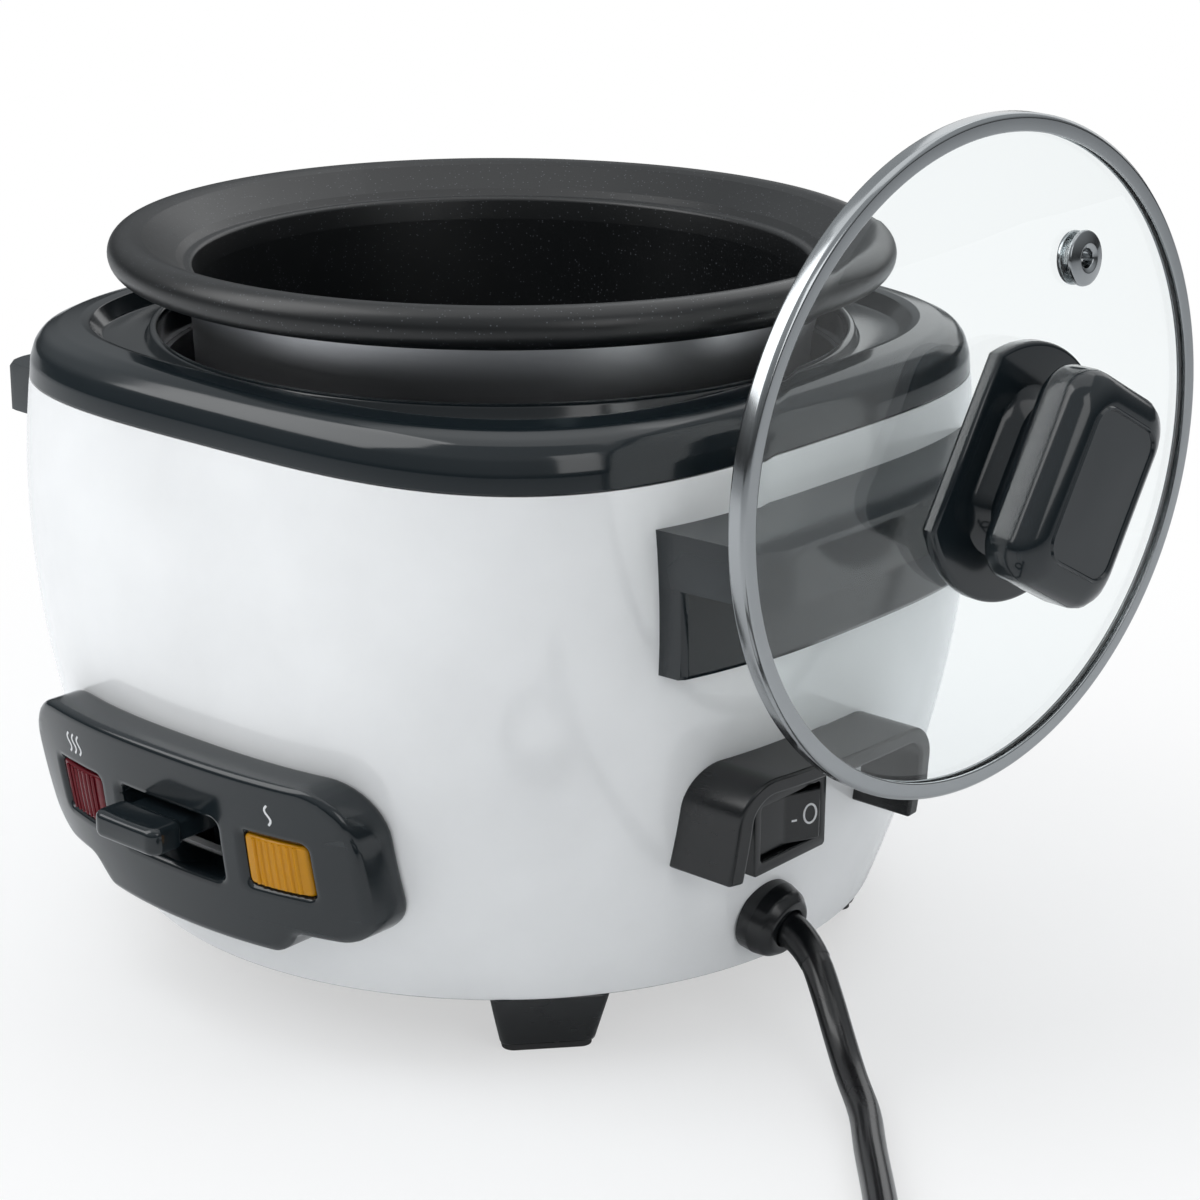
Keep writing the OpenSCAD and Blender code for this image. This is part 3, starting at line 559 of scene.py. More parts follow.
def metal(name, colour, lines=(60, 60, 2200), smooth=0.25, stain=0.3, bumpy=0.08):
    m, bsdf = material(name)
    if not bsdf:
        return m
    values = {"Colour": (*colour, 1), "Lines": lines, "Smoothness": smooth, "Stain": stain}
    g = node(m.node_tree, "ShaderNodeGroup", values, node_tree=metal_group()).outputs
    inputs = {"Base Color": g["Colour"], "Roughness": g["Roughness"], "Metallic": 1.0}
    return dress(m, bsdf, inputs, g["Height"], bumpy, 0.00005)


def white_gloss():
    return moulded("white_gloss_paint", colours().white, (0.88, 0.89, 0.9), grain=420, marks=0.16, smooth=0.13,
                   wear=0.2, bumpy=0.03, coat=0.5)


def charcoal():
    return moulded("charcoal_gloss", colours().charcoal, (0.04, 0.05, 0.055), grain=500, marks=0.18, smooth=0.10,
                   bumpy=0.02)


def black_plastic():
    return moulded("black_moulding", colours().black, (0.03, 0.034, 0.038), grain=1500, marks=0.25, wear=0.35)


def dark_rubber():
    return moulded("dark_rubber", (0.02, 0.02, 0.021), (0.06, 0.06, 0.06), grain=1800, marks=0.4, smooth=0.5,
                   bumpy=0.25)


def ceramic():
    return moulded("ivory_ceramic", (0.62, 0.58, 0.48), (0.7, 0.67, 0.6), grain=1300, smooth=0.45, wear=0.1,
                   bumpy=0.2)


def cord_skin():
    return moulded("cord_sheath", colours().cord, (0.03, 0.03, 0.03), grain=700, marks=0.25, wear=0.0, bumpy=0.06,
                   coat=0.2)


def wire_sleeve():
    return moulded("wire_sleeve", (0.32, 0.04, 0.03), (0.4, 0.1, 0.08), grain=1200, smooth=0.35, wear=0.0)


def printed_mark():
    return moulded("printed_mark", (0.72, 0.73, 0.74), (0.8, 0.8, 0.8), grain=1500, marks=0.2, smooth=0.4, wear=0.0,
                   bumpy=0.05)


def bare_aluminium():
    return metal("spun_aluminium", (0.60, 0.61, 0.63), (40, 40, 2600), smooth=0.26, stain=0.35, bumpy=0.12)


def cast_aluminium():
    return metal("cast_aluminium", (0.55, 0.55, 0.56), (500, 500, 500), smooth=0.4, stain=0.5, bumpy=0.2)


def plated_steel():
    return metal("plated_steel", (0.58, 0.58, 0.57), (300, 300, 900), smooth=0.3, stain=0.5, bumpy=0.1)


def polished_steel():
    return metal("polished_steel", (0.36, 0.375, 0.385), (900, 50, 50), smooth=0.05, stain=0.2, bumpy=0.03)


def brass():
    return metal("brass_plating", (0.72, 0.52, 0.22), (600, 600, 600), smooth=0.22, stain=0.4, bumpy=0.06)


def nonstick():
    """Black coating with fine pale speckle."""
    m, bsdf = material("nonstick_coating")
    if not bsdf:
        return m
    tree = m.node_tree
    fleck = node(tree, "ShaderNodeTexVoronoi", {"Vector": here(tree), "Scale": 1150}).outputs
    chance = node(tree, "ShaderNodeSeparateColor", {0: fleck["Color"]}).outputs[0]
    few = maths(tree, "GREATER_THAN", chance, 0.62)
    on = maths(tree, "MULTIPLY", span(tree, fleck["Distance"], 0.24, 0.12), few)
    g = skin_sockets(m, colours().nonstick, (0.02, 0.021, 0.023), 1600, 0.25, 0.30, 0.2)
    speckled = blend(tree, on, g["Colour"], (0.075, 0.08, 0.09, 1))
    return dress(m, bsdf, {"Base Color": speckled, "Roughness": g["Roughness"]}, g["Height"], 0.12, 0.0001)


def glass(name, colour, rough=0.0, ior=1.46):
    """Clear glass with a faint film on it."""
    m, bsdf = material(name)
    if not bsdf:
        return m
    tree = m.node_tree
    film = span(tree, noise(tree, here(tree), 35), 0.45, 0.8, rough, rough + 0.035)
    fill(tree, bsdf, {"Base Color": (*colour, 1), "Transmission Weight": 1.0, "IOR": ior, "Roughness": film})
    return m


def lens_plastic(name, colour):
    """Tinted plastic of a signal lens."""
    m, bsdf = material(name)
    if not bsdf:
        return m
    g = skin_sockets(m, colour, [min(1, c * 1.3) for c in colour], 260, 0.3, 0.1, 0.5)
    inputs = {"Base Color": g["Colour"], "Roughness": g["Roughness"], "Specular IOR Level": 0.25, "Coat Weight": 0.08}
    return dress(m, bsdf, inputs, g["Height"], 0.2, 0.0004)


def floor_finish():
    """Pale paper, lifted to white away from the cooker."""
    m, bsdf = material("floor_paper")
    if not bsdf:
        return m
    tree = m.node_tree
    where = here(tree)
    dress(m, bsdf, {"Base Color": (0.88, 0.89, 0.90, 1), "Roughness": 0.75, "Specular IOR Level": 0.2},
          noise(tree, where, 300), 0.02, 0.0002)
    away = node(tree, "ShaderNodeVectorMath", {0: where}, operation="LENGTH").outputs["Value"]
    fade = span(tree, away, 0.10, 0.42, 0.55, 1.0, "SMOOTHSTEP")
    white = node(tree, "ShaderNodeEmission").outputs[0]
    seen = maths(tree, "MULTIPLY", fade, seen_directly(tree))
    mix = node(tree, "ShaderNodeMixShader", {0: seen, 1: bsdf.outputs[0], 2: white})
    fill(tree, tree.nodes["Material Output"], {0: mix.outputs[0]})
    return m


# ---------------------------------------------------------------- camera and cord
CAMERA_TURN, CAMERA_RISE, CAMERA_ROLL = 40.5, 18.5, 0.45
CAMERA_AWAY = 773.5
CAMERA_AIM = (19.3, 16.5, 83.7)
CAMERA_LENS = 88.41

ROUTE = [(106, -17, 29), (112, -17.5, 27.5), (119, -20, 24), (126, -24, 18), (133, -28.5, 11.5), (141, -34.5, 6.5),
         (151, -43, 4), (162, -56, 4), (176, -72, 4), (192, -91, 4), (206, -108, 4), (218, -122.5, 4)]
PLUG_ROUTE = [(240, -143.5, 14), (249, -154.5, 16.5), (256, -163, 17.5)]
COIL_MID = (194.5, -165.0)
COIL_R, TAIL_R = 41, 48.5
PLUG_AT = Vector(PLUG_ROUTE[-1])
PLUG_TURN = math.radians(-49.5)
SLEEVE_POINTS = 9


def smooth_line(points, steps):
    """A curve through every point, with a number of steps between two."""
    pts = [Vector(p) for p in points]
    out = []
    for i in range(len(pts) - 1):
        a, b, c, d = pts[max(i - 1, 0)], pts[i], pts[i + 1], pts[min(i + 2, len(pts) - 1)]
        for k in range(steps):
            t = k / steps
            bend, twist = 2 * a - 5 * b + 4 * c - d, 3 * b - 3 * c + d - a
            out.append(0.5 * (2 * b + (c - a) * t + bend * t * t + twist * t ** 3))
    out.append(pts[-1])
    return out


def ease(t):
    """Goes smoothly from 0 to 1."""
    t = max(0.0, min(1.0, t))
    return t * t * (3 - 2 * t)


def coil_point(a):
    """Where the cord lies after it has wound through a degrees of the coil."""
    d = sizes().cord_d
    outer, inner, low = COIL_R + d / 2, COIL_R - d / 2, d / 2 + 0.2
    if a <= 470:
        r, z = outer + (inner - outer) * ease((a - 290) / 60), low
    else:
        roll = math.radians(60) * ease((a - 500) / 65)
        r, z = outer - d * math.cos(roll), low + d * math.sin(roll)
    r += (TAIL_R - COIL_R) * ease((a - 910) / 50)
    z += 1.2 * ease((a - 540) / 25) + 1.1 * ease((a - 905) / 60)
    x, y = turned(r, 0, math.radians(40 - a))
    return Vector((COIL_MID[0] + x, COIL_MID[1] + y, z))


def cord_line():
    """The cord's middle line, from the gland round the coil to the plug."""
    wound = [coil_point(a) for a in range(0, 1081, 8)]
    visible = smooth_line(ROUTE + [tuple(wound[0])], 4)[:-1]
    tail = smooth_line([tuple(wound[-2]), tuple(wound[-1])] + PLUG_ROUTE, 5)[5:]
    return visible + wound[:-1] + tail


def swept(bm, line, radius, sides):
    """A round bar along a line; radius is a function of the share of its length."""
    rings = []
    up = Vector((0, 0, 1))
    side = None
    for i, p in enumerate(line):
        t = (line[min(i + 1, len(line) - 1)] - line[max(i - 1, 0)]).normalized()
        side = (up.cross(t) if side is None else side - t * side.dot(t)).normalized()
        over = t.cross(side)
        r = radius(i / (len(line) - 1))
        rings.append([spot(*(p + side * x + over * y)) for _, x, y in round_points(r, sides)])
    skin(bm, rings)


class COOKER_OT_camera(bpy.types.Operator):
    """Sets the camera in front of the cooker's right corner."""

    bl_idname = "cooker.camera"
    bl_label = "Camera"

    def execute(self, context):
        az, el, roll = (math.radians(v) for v in (CAMERA_TURN, CAMERA_RISE, CAMERA_ROLL))
        back = Vector((math.sin(az) * math.cos(el), -math.cos(az) * math.cos(el), math.sin(el)))
        right = Vector((math.cos(az), math.sin(az), 0))
        up = back.cross(right)
        right, up = turned(right, up, -roll)
        data = bpy.data.cameras.new("camera")
        data.lens = CAMERA_LENS
        data.sensor_width = 36
        data.clip_start = 0.01
        ob = in_scene("camera", data)
        where = spot(*CAMERA_AIM) + back * CAMERA_AWAY * MM
        ob.matrix_world = Matrix.Translation(where) @ Matrix((right, up, back)).transposed().to_4x4()
        context.scene.camera = ob
        return {"FINISHED"}


class COOKER_OT_cord(bpy.types.Operator):
    """Makes the mains cord, its sleeve and its plug."""

    bl_idname = "cooker.cord"
    bl_label = "Mains cord and plug"

    def execute(self, context):
        s = sizes()
        line = cord_line()
        data = bpy.data.curves.new("mains_lead", "CURVE")
        data.dimensions = "3D"
        data.bevel_depth = s.cord_d / 2 * MM
        data.bevel_resolution = 5
        data.use_fill_caps = True
        spline = data.splines.new("POLY")
        spline.points.add(len(line) - 1)
        for point, p in zip(spline.points, line):
            point.co = (*spot(*p), 1)
        spline.use_smooth = True
        lead = in_scene("mains_lead", data)
        data.materials.append(cord_skin())
        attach(lead, "base")
        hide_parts("mains_cord", "cord_coil")

        bm = bmesh.new()
        swept(bm, line[:SLEEVE_POINTS], lambda t: 5.2 - 1.35 * math.sqrt(t), sides=32)
        piece("cord_sleeve", bm, black_plastic(), "base", (), angle=40)

        def plug_place(x, y, z):
            return spot(*(PLUG_AT + Vector((*turned(z, y, PLUG_TURN), x))))

        neck = [(0, -1, 0), (4.6, -1, 0.5), (5.2, 2, 0.4)]
        for i in range(3):
            z = 2.4 + 1.9 * i
            neck += [(5.6 + 0.8 * i, z, 0.3), (5.2 + 0.7 * i, z + 0.8, 0.2), (5.5 + 0.7 * i, z + 1.1, 0.2)]
        head = [(11.2, 8.6, 2), (12.6, 10.5, 2), (16.2, 16.5, 4), (17, 19, 3), (17, 31.6, 1.2),
                (15.4, 34, 1.0), (0, 34, 0)]
        bm = bmesh.new()
        lathe(bm, fillet(neck + head, closed=False, steps=5), 96, plug_place, closed=False)
        plug = piece("plug_moulding", bm, dark_rubber(), "base", ("plug_body",))
        pin = fillet([(0, 33, 0), (2.4, 33, 0), (2.4, 51.2, 1.2), (1.2, 51.6, 0.4), (0, 51.6, 0)], closed=False)
        bm = bmesh.new()
        for side in (-9.5, 9.5):
            one = bmesh.new()
            lathe(one, pin, 40, lambda x, y, z, side=side: plug_place(x, y + side, z), closed=False)
            join(bm, one)
        pins = piece("plug_pin_pair", bm, brass(), "base", ("plug_pins",))
        return {"FINISHED"}


# ---------------------------------------------------------------- body
GLAND_Y, GLAND_Z = -17, 30
SWITCH_Y, SWITCH_Z = -18.5, 57
WINDOW_X, WINDOW_Z = 34, 55
PANEL_LOW, PANEL_HIGH = 36.5, 76.5
GRIP_LOW, GRIP_TOP, GRIP_OUT = 103.0, 137.0, 131.0
GRIP_PLATE_T, GRIP_BACK_T, GRIP_LIP_H, GRIP_LIP_T = 8, 6.4, 5.0, 4
GRIP_HEIGHTS = (110, 117, 124, 130, GRIP_TOP)
GRIP_ENDS = [49, 50, 51.2, 53, 55, 56.4, 57.2, 57.5, 61]
GRIP_SOLID = 57.3


def block(x0, x1, y0, y1, z0, z1):
    """A box, for cutting an opening."""
    bm = bmesh.new()
    skin(bm, [[spot(x, y, z) for x, y in ((x0, y0), (x1, y0), (x1, y1), (x0, y1))] for z in (z0, z1)])
    return bm


class COOKER_OT_shell(bpy.types.Operator):
    """Makes the white outer shell with its openings."""

    bl_idname = "cooker.shell"
    bl_label = "Outer shell"

    def execute(self, context):
        s = sizes()
        low, high = s.foot_h, s.shell_z
        wall = [(0, low + 3 + (high - low - 3.6) * i / 46) for i in range(47)]
        inner = [(-s.shell_t, high - (high - low - 1) * i / 16) for i in range(1, 17)]
        profile = [(-1.1, low - 0.02), (-0.35, low + 0.1), (0, low + 0.5), (0, low + 1.4), *wall, (-0.05, high - 0.1),
                   (-s.shell_t, high - 0.1), *inner, (-s.shell_t + 0.3, low + 0.02)]
        bm = bmesh.new()
        skin(bm, [[spot((shell_r(a, z) + d) * x, (shell_r(a, z) + d) * y, z) for d, z in profile]
                  for a, x, y in round_points(1.0, s.turns)], loop=True)
        gland, gland_x = bmesh.new(), reach(GLAND_Y, GLAND_Z)
        lathe(gland, [(0, -16), (6.6, -16), (6.6, 16), (0, 16)], 32,
              lambda x, y, z: spot(gland_x + z, GLAND_Y + x, GLAND_Z + y), closed=False)
        lever_slot = block(-15, 15, -125, -85, 46.8, 62.2)
        switch_hole = block(88, 120, SWITCH_Y - 11.9, SWITCH_Y + 11.9, SWITCH_Z - 8.2, SWITCH_Z + 8.2)
        bm = cut(bm, [lever_slot, switch_hole, gland])
        piece("body_shell", bm, white_gloss(), "base", ("outer_shell",), angle=30)
        return {"FINISHED"}


class COOKER_OT_ring(bpy.types.Operator):
    """Makes the charcoal ring round the pot opening."""

    bl_idname = "cooker.ring"
    bl_label = "Top ring"

    def execute(self, context):
        s = sizes()
        lip = s.pot_rim_r - 10.5
        z, h = s.shell_z, s.ring_h
        rings = []
        for a, x, y in round_points(1.0, s.turns):
            o, c = square_r(s.top_w, s.top_square, a), square_r(s.top_w - 11.5, 3.2, a)
            t = max(lip + 2.2, c - 4)
            top = z + h
            crest = [(o - 0.15, z + 0.06, 0.3), (o - 0.05, z + 0.45, 0.3), (o - 0.45, z + 0.32 * h, 6),
                     (o - 1.7, z + 0.6 * h, 6), (o - 3.9, z + 0.8 * h, 5), ((o + c) / 2 - 0.6, z + 0.92 * h, 6),
                     (c + 1.2, top - 0.2, 1.6), (c - 0.9, top - 0.7, 1.2)]
            trough = [(t, top - 4.6, 1.4), (lip + 1.8, top - 5, 1.2), (lip + 0.9, top - 1.7, 0.9),
                      (lip - 0.9, top - 1.0, 0.9), (lip - 1.2, top - 3.4, 0.8), (lip - 1.2, z + 3, 0.2),
                      (lip + 0.8, z + 3, 0.2)]
            under = [(lip + 0.8, z + 6.6, 0.3), (t - 0.4, z + 7, 0.3), (c + 0.4, top - 3, 0.5),
                     (o - 5.6, z + 0.56 * h, 1), (o - 3.2, z + 0.3 * h, 1), (o - 2.4, z + 0.1, 0.1)]
            rings.append([spot(p.x * x, p.x * y, p.y) for p in fillet(crest + trough + under, steps=4)])
        bm = bmesh.new()
        skin(bm, rings, loop=True)
        piece("pot_surround", bm, charcoal(), "base", ("top_ring",), angle=50)
        return {"FINISHED"}


def grip_edge(away):
    """How far out a grip's top plate reaches, at a distance from its middle."""
    if away <= 50:
        return GRIP_OUT
    if away <= 55:
        return GRIP_OUT - 1.5 * ((away - 50) / 5) ** 1.5
    return GRIP_OUT - 1.5 - 0.9 * (away - 55) if away < 60 else GRIP_OUT - 6


def grip_row(side, y):
    """Points round a grip's section, which is solid at its ends."""
    away, edge = abs(y), grip_edge(abs(y))
    back = lambda z: reach(y, z) - 0.4
    mid = (back(GRIP_TOP) + edge) / 2
    plate_z = GRIP_TOP - GRIP_PLATE_T
    lip = plate_z - GRIP_LIP_H
    under = lip if away > GRIP_SOLID else plate_z
    row = [(back(z), z) for z in (GRIP_LOW, *GRIP_HEIGHTS)]
    row += [(back(GRIP_TOP) + 6, GRIP_TOP), (mid + 3, GRIP_TOP), (edge - 1, GRIP_TOP), (edge, GRIP_TOP - 1),
            (edge, plate_z), (edge, lip), (edge - GRIP_LIP_T, lip), (edge - GRIP_LIP_T, under), (mid + 2, under)]
    row += [(reach(y, z, GRIP_BACK_T), z) for z in (under - 0.05, min(124, under - 0.6), 117, 110, GRIP_LOW + 1)]
    row.append((reach(y, GRIP_LOW, GRIP_BACK_T) - 0.6, GRIP_LOW))
    end = lambda x: 61 - 3 * (x - 60) / 65 if away > 60 else away
    return [spot(side * x, math.copysign(end(x), y), z) for x, z in row]


class COOKER_OT_handles(bpy.types.Operator):
    """Makes both carrying handles."""

    bl_idname = "cooker.handles"
    bl_label = "Handles"

    def execute(self, context):
        across = [-y for y in reversed(GRIP_ENDS)] + [-44 + 4 * i for i in range(23)] + GRIP_ENDS
        for name, side, node_name in (("grip_right", 1, "right_handle"), ("grip_left", -1, "left_handle")):
            bm = bmesh.new()
            skin(bm, [grip_row(side, y) for y in across])
            bevelled(piece(name, bm, charcoal(), "base", (node_name,), angle=28), 0.9, 30)
        return {"FINISHED"}


def on_front(d0):
    """Bends a flat piece onto the shell's front; its thickness starts d0 off the surface."""
    def bend(co):
        return spot(co.x, -reach(co.x, co.y, d0 + co.z), co.y)
    return bend


def stroke(points, width, height=0.5):
    """A raised printed line along points in X and Y."""
    bm = bmesh.new()
    line = [Vector((p[0], p[1], 0)) for p in points]
    rings = []
    for i, p in enumerate(line):
        t = (line[min(i + 1, len(line) - 1)] - line[max(i - 1, 0)]).normalized()
        n = Vector((-t.y, t.x, 0)) * width / 2
        rings.append([p - n, p + n, p + n + Vector((0, 0, height)), p - n + Vector((0, 0, height))])
    skin(bm, rings)
    return bm


class COOKER_OT_panel(bpy.types.Operator):
    """Makes the control panel, its lenses and their signs."""

    bl_idname = "cooker.panel"
    bl_label = "Control panel"

    def execute(self, context):
        s = sizes()
        low, high = PANEL_LOW, PANEL_HIGH
        right = [(29.5, low - 6.5, 5), (35.5, low, 5), (56, low, 14), (56, high, 14)]
        corners = right + [(-x, z, r) for x, z, r in reversed(right)]
        slot = box_outline(34, 15.5, 2, 0, 54.5)
        windows = [box_outline(18, 13.5, 1.5, x, WINDOW_Z) for x in (-WINDOW_X, WINDOW_X)]
        bm = plate(fillet(corners, steps=10), [slot] + windows, s.panel_proud + 0.3, 2.1, grid=2.6)
        move(bm, on_front(-0.3))
        piece("front_panel", bm, charcoal(), "base", ("control_panel",), angle=40)
        for name, x, slot_name, finish in (
                ("signal_red", -WINDOW_X, "red_lens", lens_plastic("red_lens", colours().red)),
                ("signal_amber", WINDOW_X, "amber_lens", lens_plastic("amber_lens", colours().amber))):
            self.lens(name, x, slot_name, finish, s.panel_proud)
        bm = bmesh.new()
        for x in (-WINDOW_X - 2.1, -WINDOW_X, -WINDOW_X + 2.1, WINDOW_X):
            wave = [(x + 0.75 * math.sin(i / 14 * 2 * math.pi), 65.8 + 5.0 * i / 14) for i in range(15)]
            join(bm, stroke(wave, 0.55, 0.4))
        move(bm, on_front(s.panel_proud - 0.32))
        piece("panel_signs", bm, printed_mark(), "base", (), angle=40)
        return {"FINISHED"}

    def lens(self, name, x, slot_name, finish, proud):
        """A crowned lens with ribs across it; its frame node has the slot's name."""
        bm = plate(box_outline(17.8, 13.3, 1.4, x, WINDOW_Z), [], 5.6, 0.9, grid=1.5)
        move(bm, lambda co: Vector((co.x, co.y, co.z + (0.6 * (1 - ((co.x - x) / 9) ** 2) if co.z > 3 else 0))))
        move(bm, on_front(proud - 6.5))
        piece(name, bm, finish, "base", (slot_name,), angle=45)
        rib = bmesh.new()
        skin(rib, [[Vector((across, y, z)) for y, z in ((-6.0, -0.5), (6.0, -0.5), (6.0, top), (-6.0, top))]
                   for across, top in ((0, 0.25), (0.45, 0.55), (0.9, 0.25))])
        bm = repeated(rib, row_tree(), {"Count": 7, "Step": (1.9, 0.0, 0.0), "Finish": finish}, angle=60)
        move(bm, lambda co: Vector((co.x + x - 6.1, co.y + WINDOW_Z, co.z)))
        move(bm, on_front(proud - 0.45))
        piece(name + "_ribs", bm, finish, "base", (), angle=60)


class COOKER_OT_lever(bpy.types.Operator):
    """Makes the cooking lever's paddle."""

    bl_idname = "cooker.lever"
    bl_label = "Cooking lever"

    def execute(self, context):
        low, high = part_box("cook_lever")
        y0, y1, top = (low[1] - AXIS.y) / MM, (high[1] - AXIS.y) / MM, high[2] / MM
        mid = top - 3.5
        bm = plate(box_outline(22, 10.5, 3.0, 0, 0), [], 7, 2.0, grid=1.6)
        hollow = lambda co: 0.6 * (1 - (co.x / 11) ** 2) * (1 - (co.y / 5.25) ** 2) if co.z > 5 else 0
        move(bm, lambda co: co - Vector((0, 0, hollow(co))))
        move(bm, lambda co: spot(co.x - 1.2, y0 + 5.25 + co.y, mid - 3.5 + co.z))
        neck = plate(box_outline(18, 5, 0.8, -1.2, mid), [], 24, 0.3)
        move(neck, lambda co: spot(co.x, y0 + 8 + co.z, co.y))
        join(bm, neck)
        leg = plate(box_outline(16, mid - 30, 1.2, 0, (mid + 34) / 2), [], 5, 0.4)
        move(leg, lambda co: spot(co.x, y1 - 5 + co.z, co.y))
        join(bm, leg)
        piece("lever_paddle", bm, charcoal(), "lever", ("cook_lever",), angle=40)
        return {"FINISHED"}


# ---------------------------------------------------------------- right side
class COOKER_OT_bracket(bpy.types.Operator):
    """Makes the cord bracket over the switch."""

    bl_idname = "cooker.bracket"
    bl_label = "Cord bracket"

    def execute(self, context):
        mid, half, top, low, thick, deep, r = GLAND_Y, 33.0, 78.0, 52.0, 4.0, 17.0, 10
        bend_z = top - r
        leg = [(mid - half, low + (bend_z - low) * i / 9, -1.0, 0.0) for i in range(9)]
        bend = []
        for i in range(13):
            a = math.pi - math.pi / 2 * i / 12
            bend.append((mid - half + r + r * math.cos(a), bend_z + r * math.sin(a), math.cos(a), math.sin(a)))
        bar = [(mid - half + r + (2 * half - 2 * r) * i / 16, top, 0.0, 1.0) for i in range(1, 16)]
        path = leg + bend + bar + [(2 * mid - y, z, -ny, nz) for y, z, ny, nz in reversed(leg + bend)]
        rings = []
        for y, z, ny, nz in path:
            yi, zi = y - ny * thick, z - nz * thick
            rings.append([spot(reach(y, z) - 0.4, y, z), spot(reach(y, z, deep), y, z),
                          spot(reach(yi, zi, deep), yi, zi), spot(reach(yi, zi) - 0.4, yi, zi)])
        bm = bmesh.new()
        skin(bm, rings)
        guard = piece("cord_guard", bm, black_plastic(), "base", ("cord_bracket",), angle=30)
        bevelled(guard, 0.7, 40)
        return {"FINISHED"}


class COOKER_OT_switch(bpy.types.Operator):
    """Makes the switch housing and its rocker."""

    bl_idname = "cooker.switch"
    bl_label = "Mains switch"

    def execute(self, context):
        y, z = SWITCH_Y, SWITCH_Z
        x1 = reach(y, z) + 4
        bm = plate(box_outline(28, 20.5, 1.2, y, z), [box_outline(23, 13.8, 0.8, y, z)], 10, 0.55)
        move(bm, lambda co: spot(x1 - 10 + co.z, co.x, co.y))
        can = plate(box_outline(24, 16.5, 0.6, y, z), [], 12, 0.3)
        move(can, lambda co: spot(x1 - 24 + co.z, co.x, co.y))
        join(bm, can)
        piece("switch_frame", bm, black_plastic(), "base", ("switch_housing",), angle=40)
        turn = math.radians(-10)
        outline = fillet([(-3, -7.5, 1), (2.5, -10.5, 0.8), (4.2, -10.1, 0.8), (2.4, 0, 5),
                          (4.2, 10.1, 0.8), (2.5, 10.5, 0.8), (-3, 7.5, 1)])
        bm = plate(outline, [], 12.9, 0.5)
        pivot = (x1 - 4, y)

        def seat(co):
            x, w = turned(co.x, co.y, turn)
            return spot(pivot[0] + x, pivot[1] + w, z - 6.45 + co.z)
        move(bm, seat)
        axle = bmesh.new()
        lathe(axle, [(0, -7.6), (1.5, -7.6), (1.5, 7.6), (0, 7.6)], 32,
              lambda a, b, c: spot(pivot[0] + a, pivot[1] + b, z + c), closed=False)
        join(bm, axle)
        piece("switch_rocker", bm, black_plastic(), "rocker", ("rocker",), angle=35)
        bm = bmesh.new()

        def on_rocker(co):
            w = co.x
            face = 2.4 + 1.8 * abs(w) / 10.1
            return seat(Vector((face - 0.3 + co.z, w, 6.45 + co.y)))
        mid = Vector((7.0, 0.4, 0))
        rows = []
        for _, x, w in round_points(1.0, 32):
            p = mid + Vector((1.7 * x, 2.4 * w, 0))
            out = (p - mid).normalized() * 0.26
            rows.append([p - out, p + out, p + out + Vector((0, 0, 0.42)), p - out + Vector((0, 0, 0.42))])
        o_mark = bmesh.new()
        skin(o_mark, rows, loop=True)
        join(bm, o_mark)
        join(bm, stroke([(1.9, -0.6), (2.6, -0.6), (3.3, -0.6)], 0.5, 0.42))
        move(bm, on_rocker)
        piece("switch_marks", bm, printed_mark(), "rocker", (), angle=40)
        return {"FINISHED"}


class COOKER_OT_gland(bpy.types.Operator):
    """Makes the gland round the cord."""

    bl_idname = "cooker.gland"
    bl_label = "Cord gland"

    def execute(self, context):
        tilt = math.atan(shell_w(30.5) - shell_w(29.5))
        start = Vector((reach(GLAND_Y, GLAND_Z), GLAND_Y, GLAND_Z))

        def place(x, y, z):
            out, up = turned(z, x, -tilt)
            return spot(*(start + Vector((out, y, up))))
        profile = fillet([(4.6, -10, 0), (6.3, -10, 0.3), (6.3, -1, 0), (9.5, -1, 0), (9.5, 2.4, 1.2),
                          (8.7, 5.8, 2.6),
                          (6.8, 8.1, 1.6), (5.0, 8.2, 0.5), (4.6, 7.0, 0.2)], steps=5)
        bm = bmesh.new()
        lathe(bm, profile, 96, place)
        piece("gland_body", bm, black_plastic(), "base", ("cable_gland",), angle=40)
        return {"FINISHED"}


class COOKER_OT_feet(bpy.types.Operator):
    """Makes the four feet."""

    bl_idname = "cooker.feet"
    bl_label = "Feet"

    def execute(self, context):
        lower, upper = box_outline(17, 23, 2.2, steps=4), box_outline(23, 29, 2.6, cx=2.5, steps=4)
        bm = bmesh.new()
        skin(bm, [[Vector((*p, z)) for p in outline] for outline, z in ((lower, 1.5), (upper, 16.4))])
        bmesh.ops.recalc_face_normals(bm, faces=bm.faces)
        edges = [e for e in bm.edges if e.calc_face_angle(0) > 1.0]
        bmesh.ops.bevel(bm, geom=edges, offset=0.8, segments=3, affect="EDGES", profile=0.5)
        bm = repeated(bm, ring_tree(), {"Count": 4, "Radius": sizes().bottom_w - 14.0, "Start": math.radians(45),
                                        "Finish": black_plastic()})
        nudge = math.radians(4)

        def place(co):
            return spot(*turned(co.x, co.y, -nudge if co.x * co.y > 0 else nudge), co.z)
        move(bm, place)
        piece("body_feet", bm, black_plastic(), "base", ("feet",), angle=35)
        return {"FINISHED"}


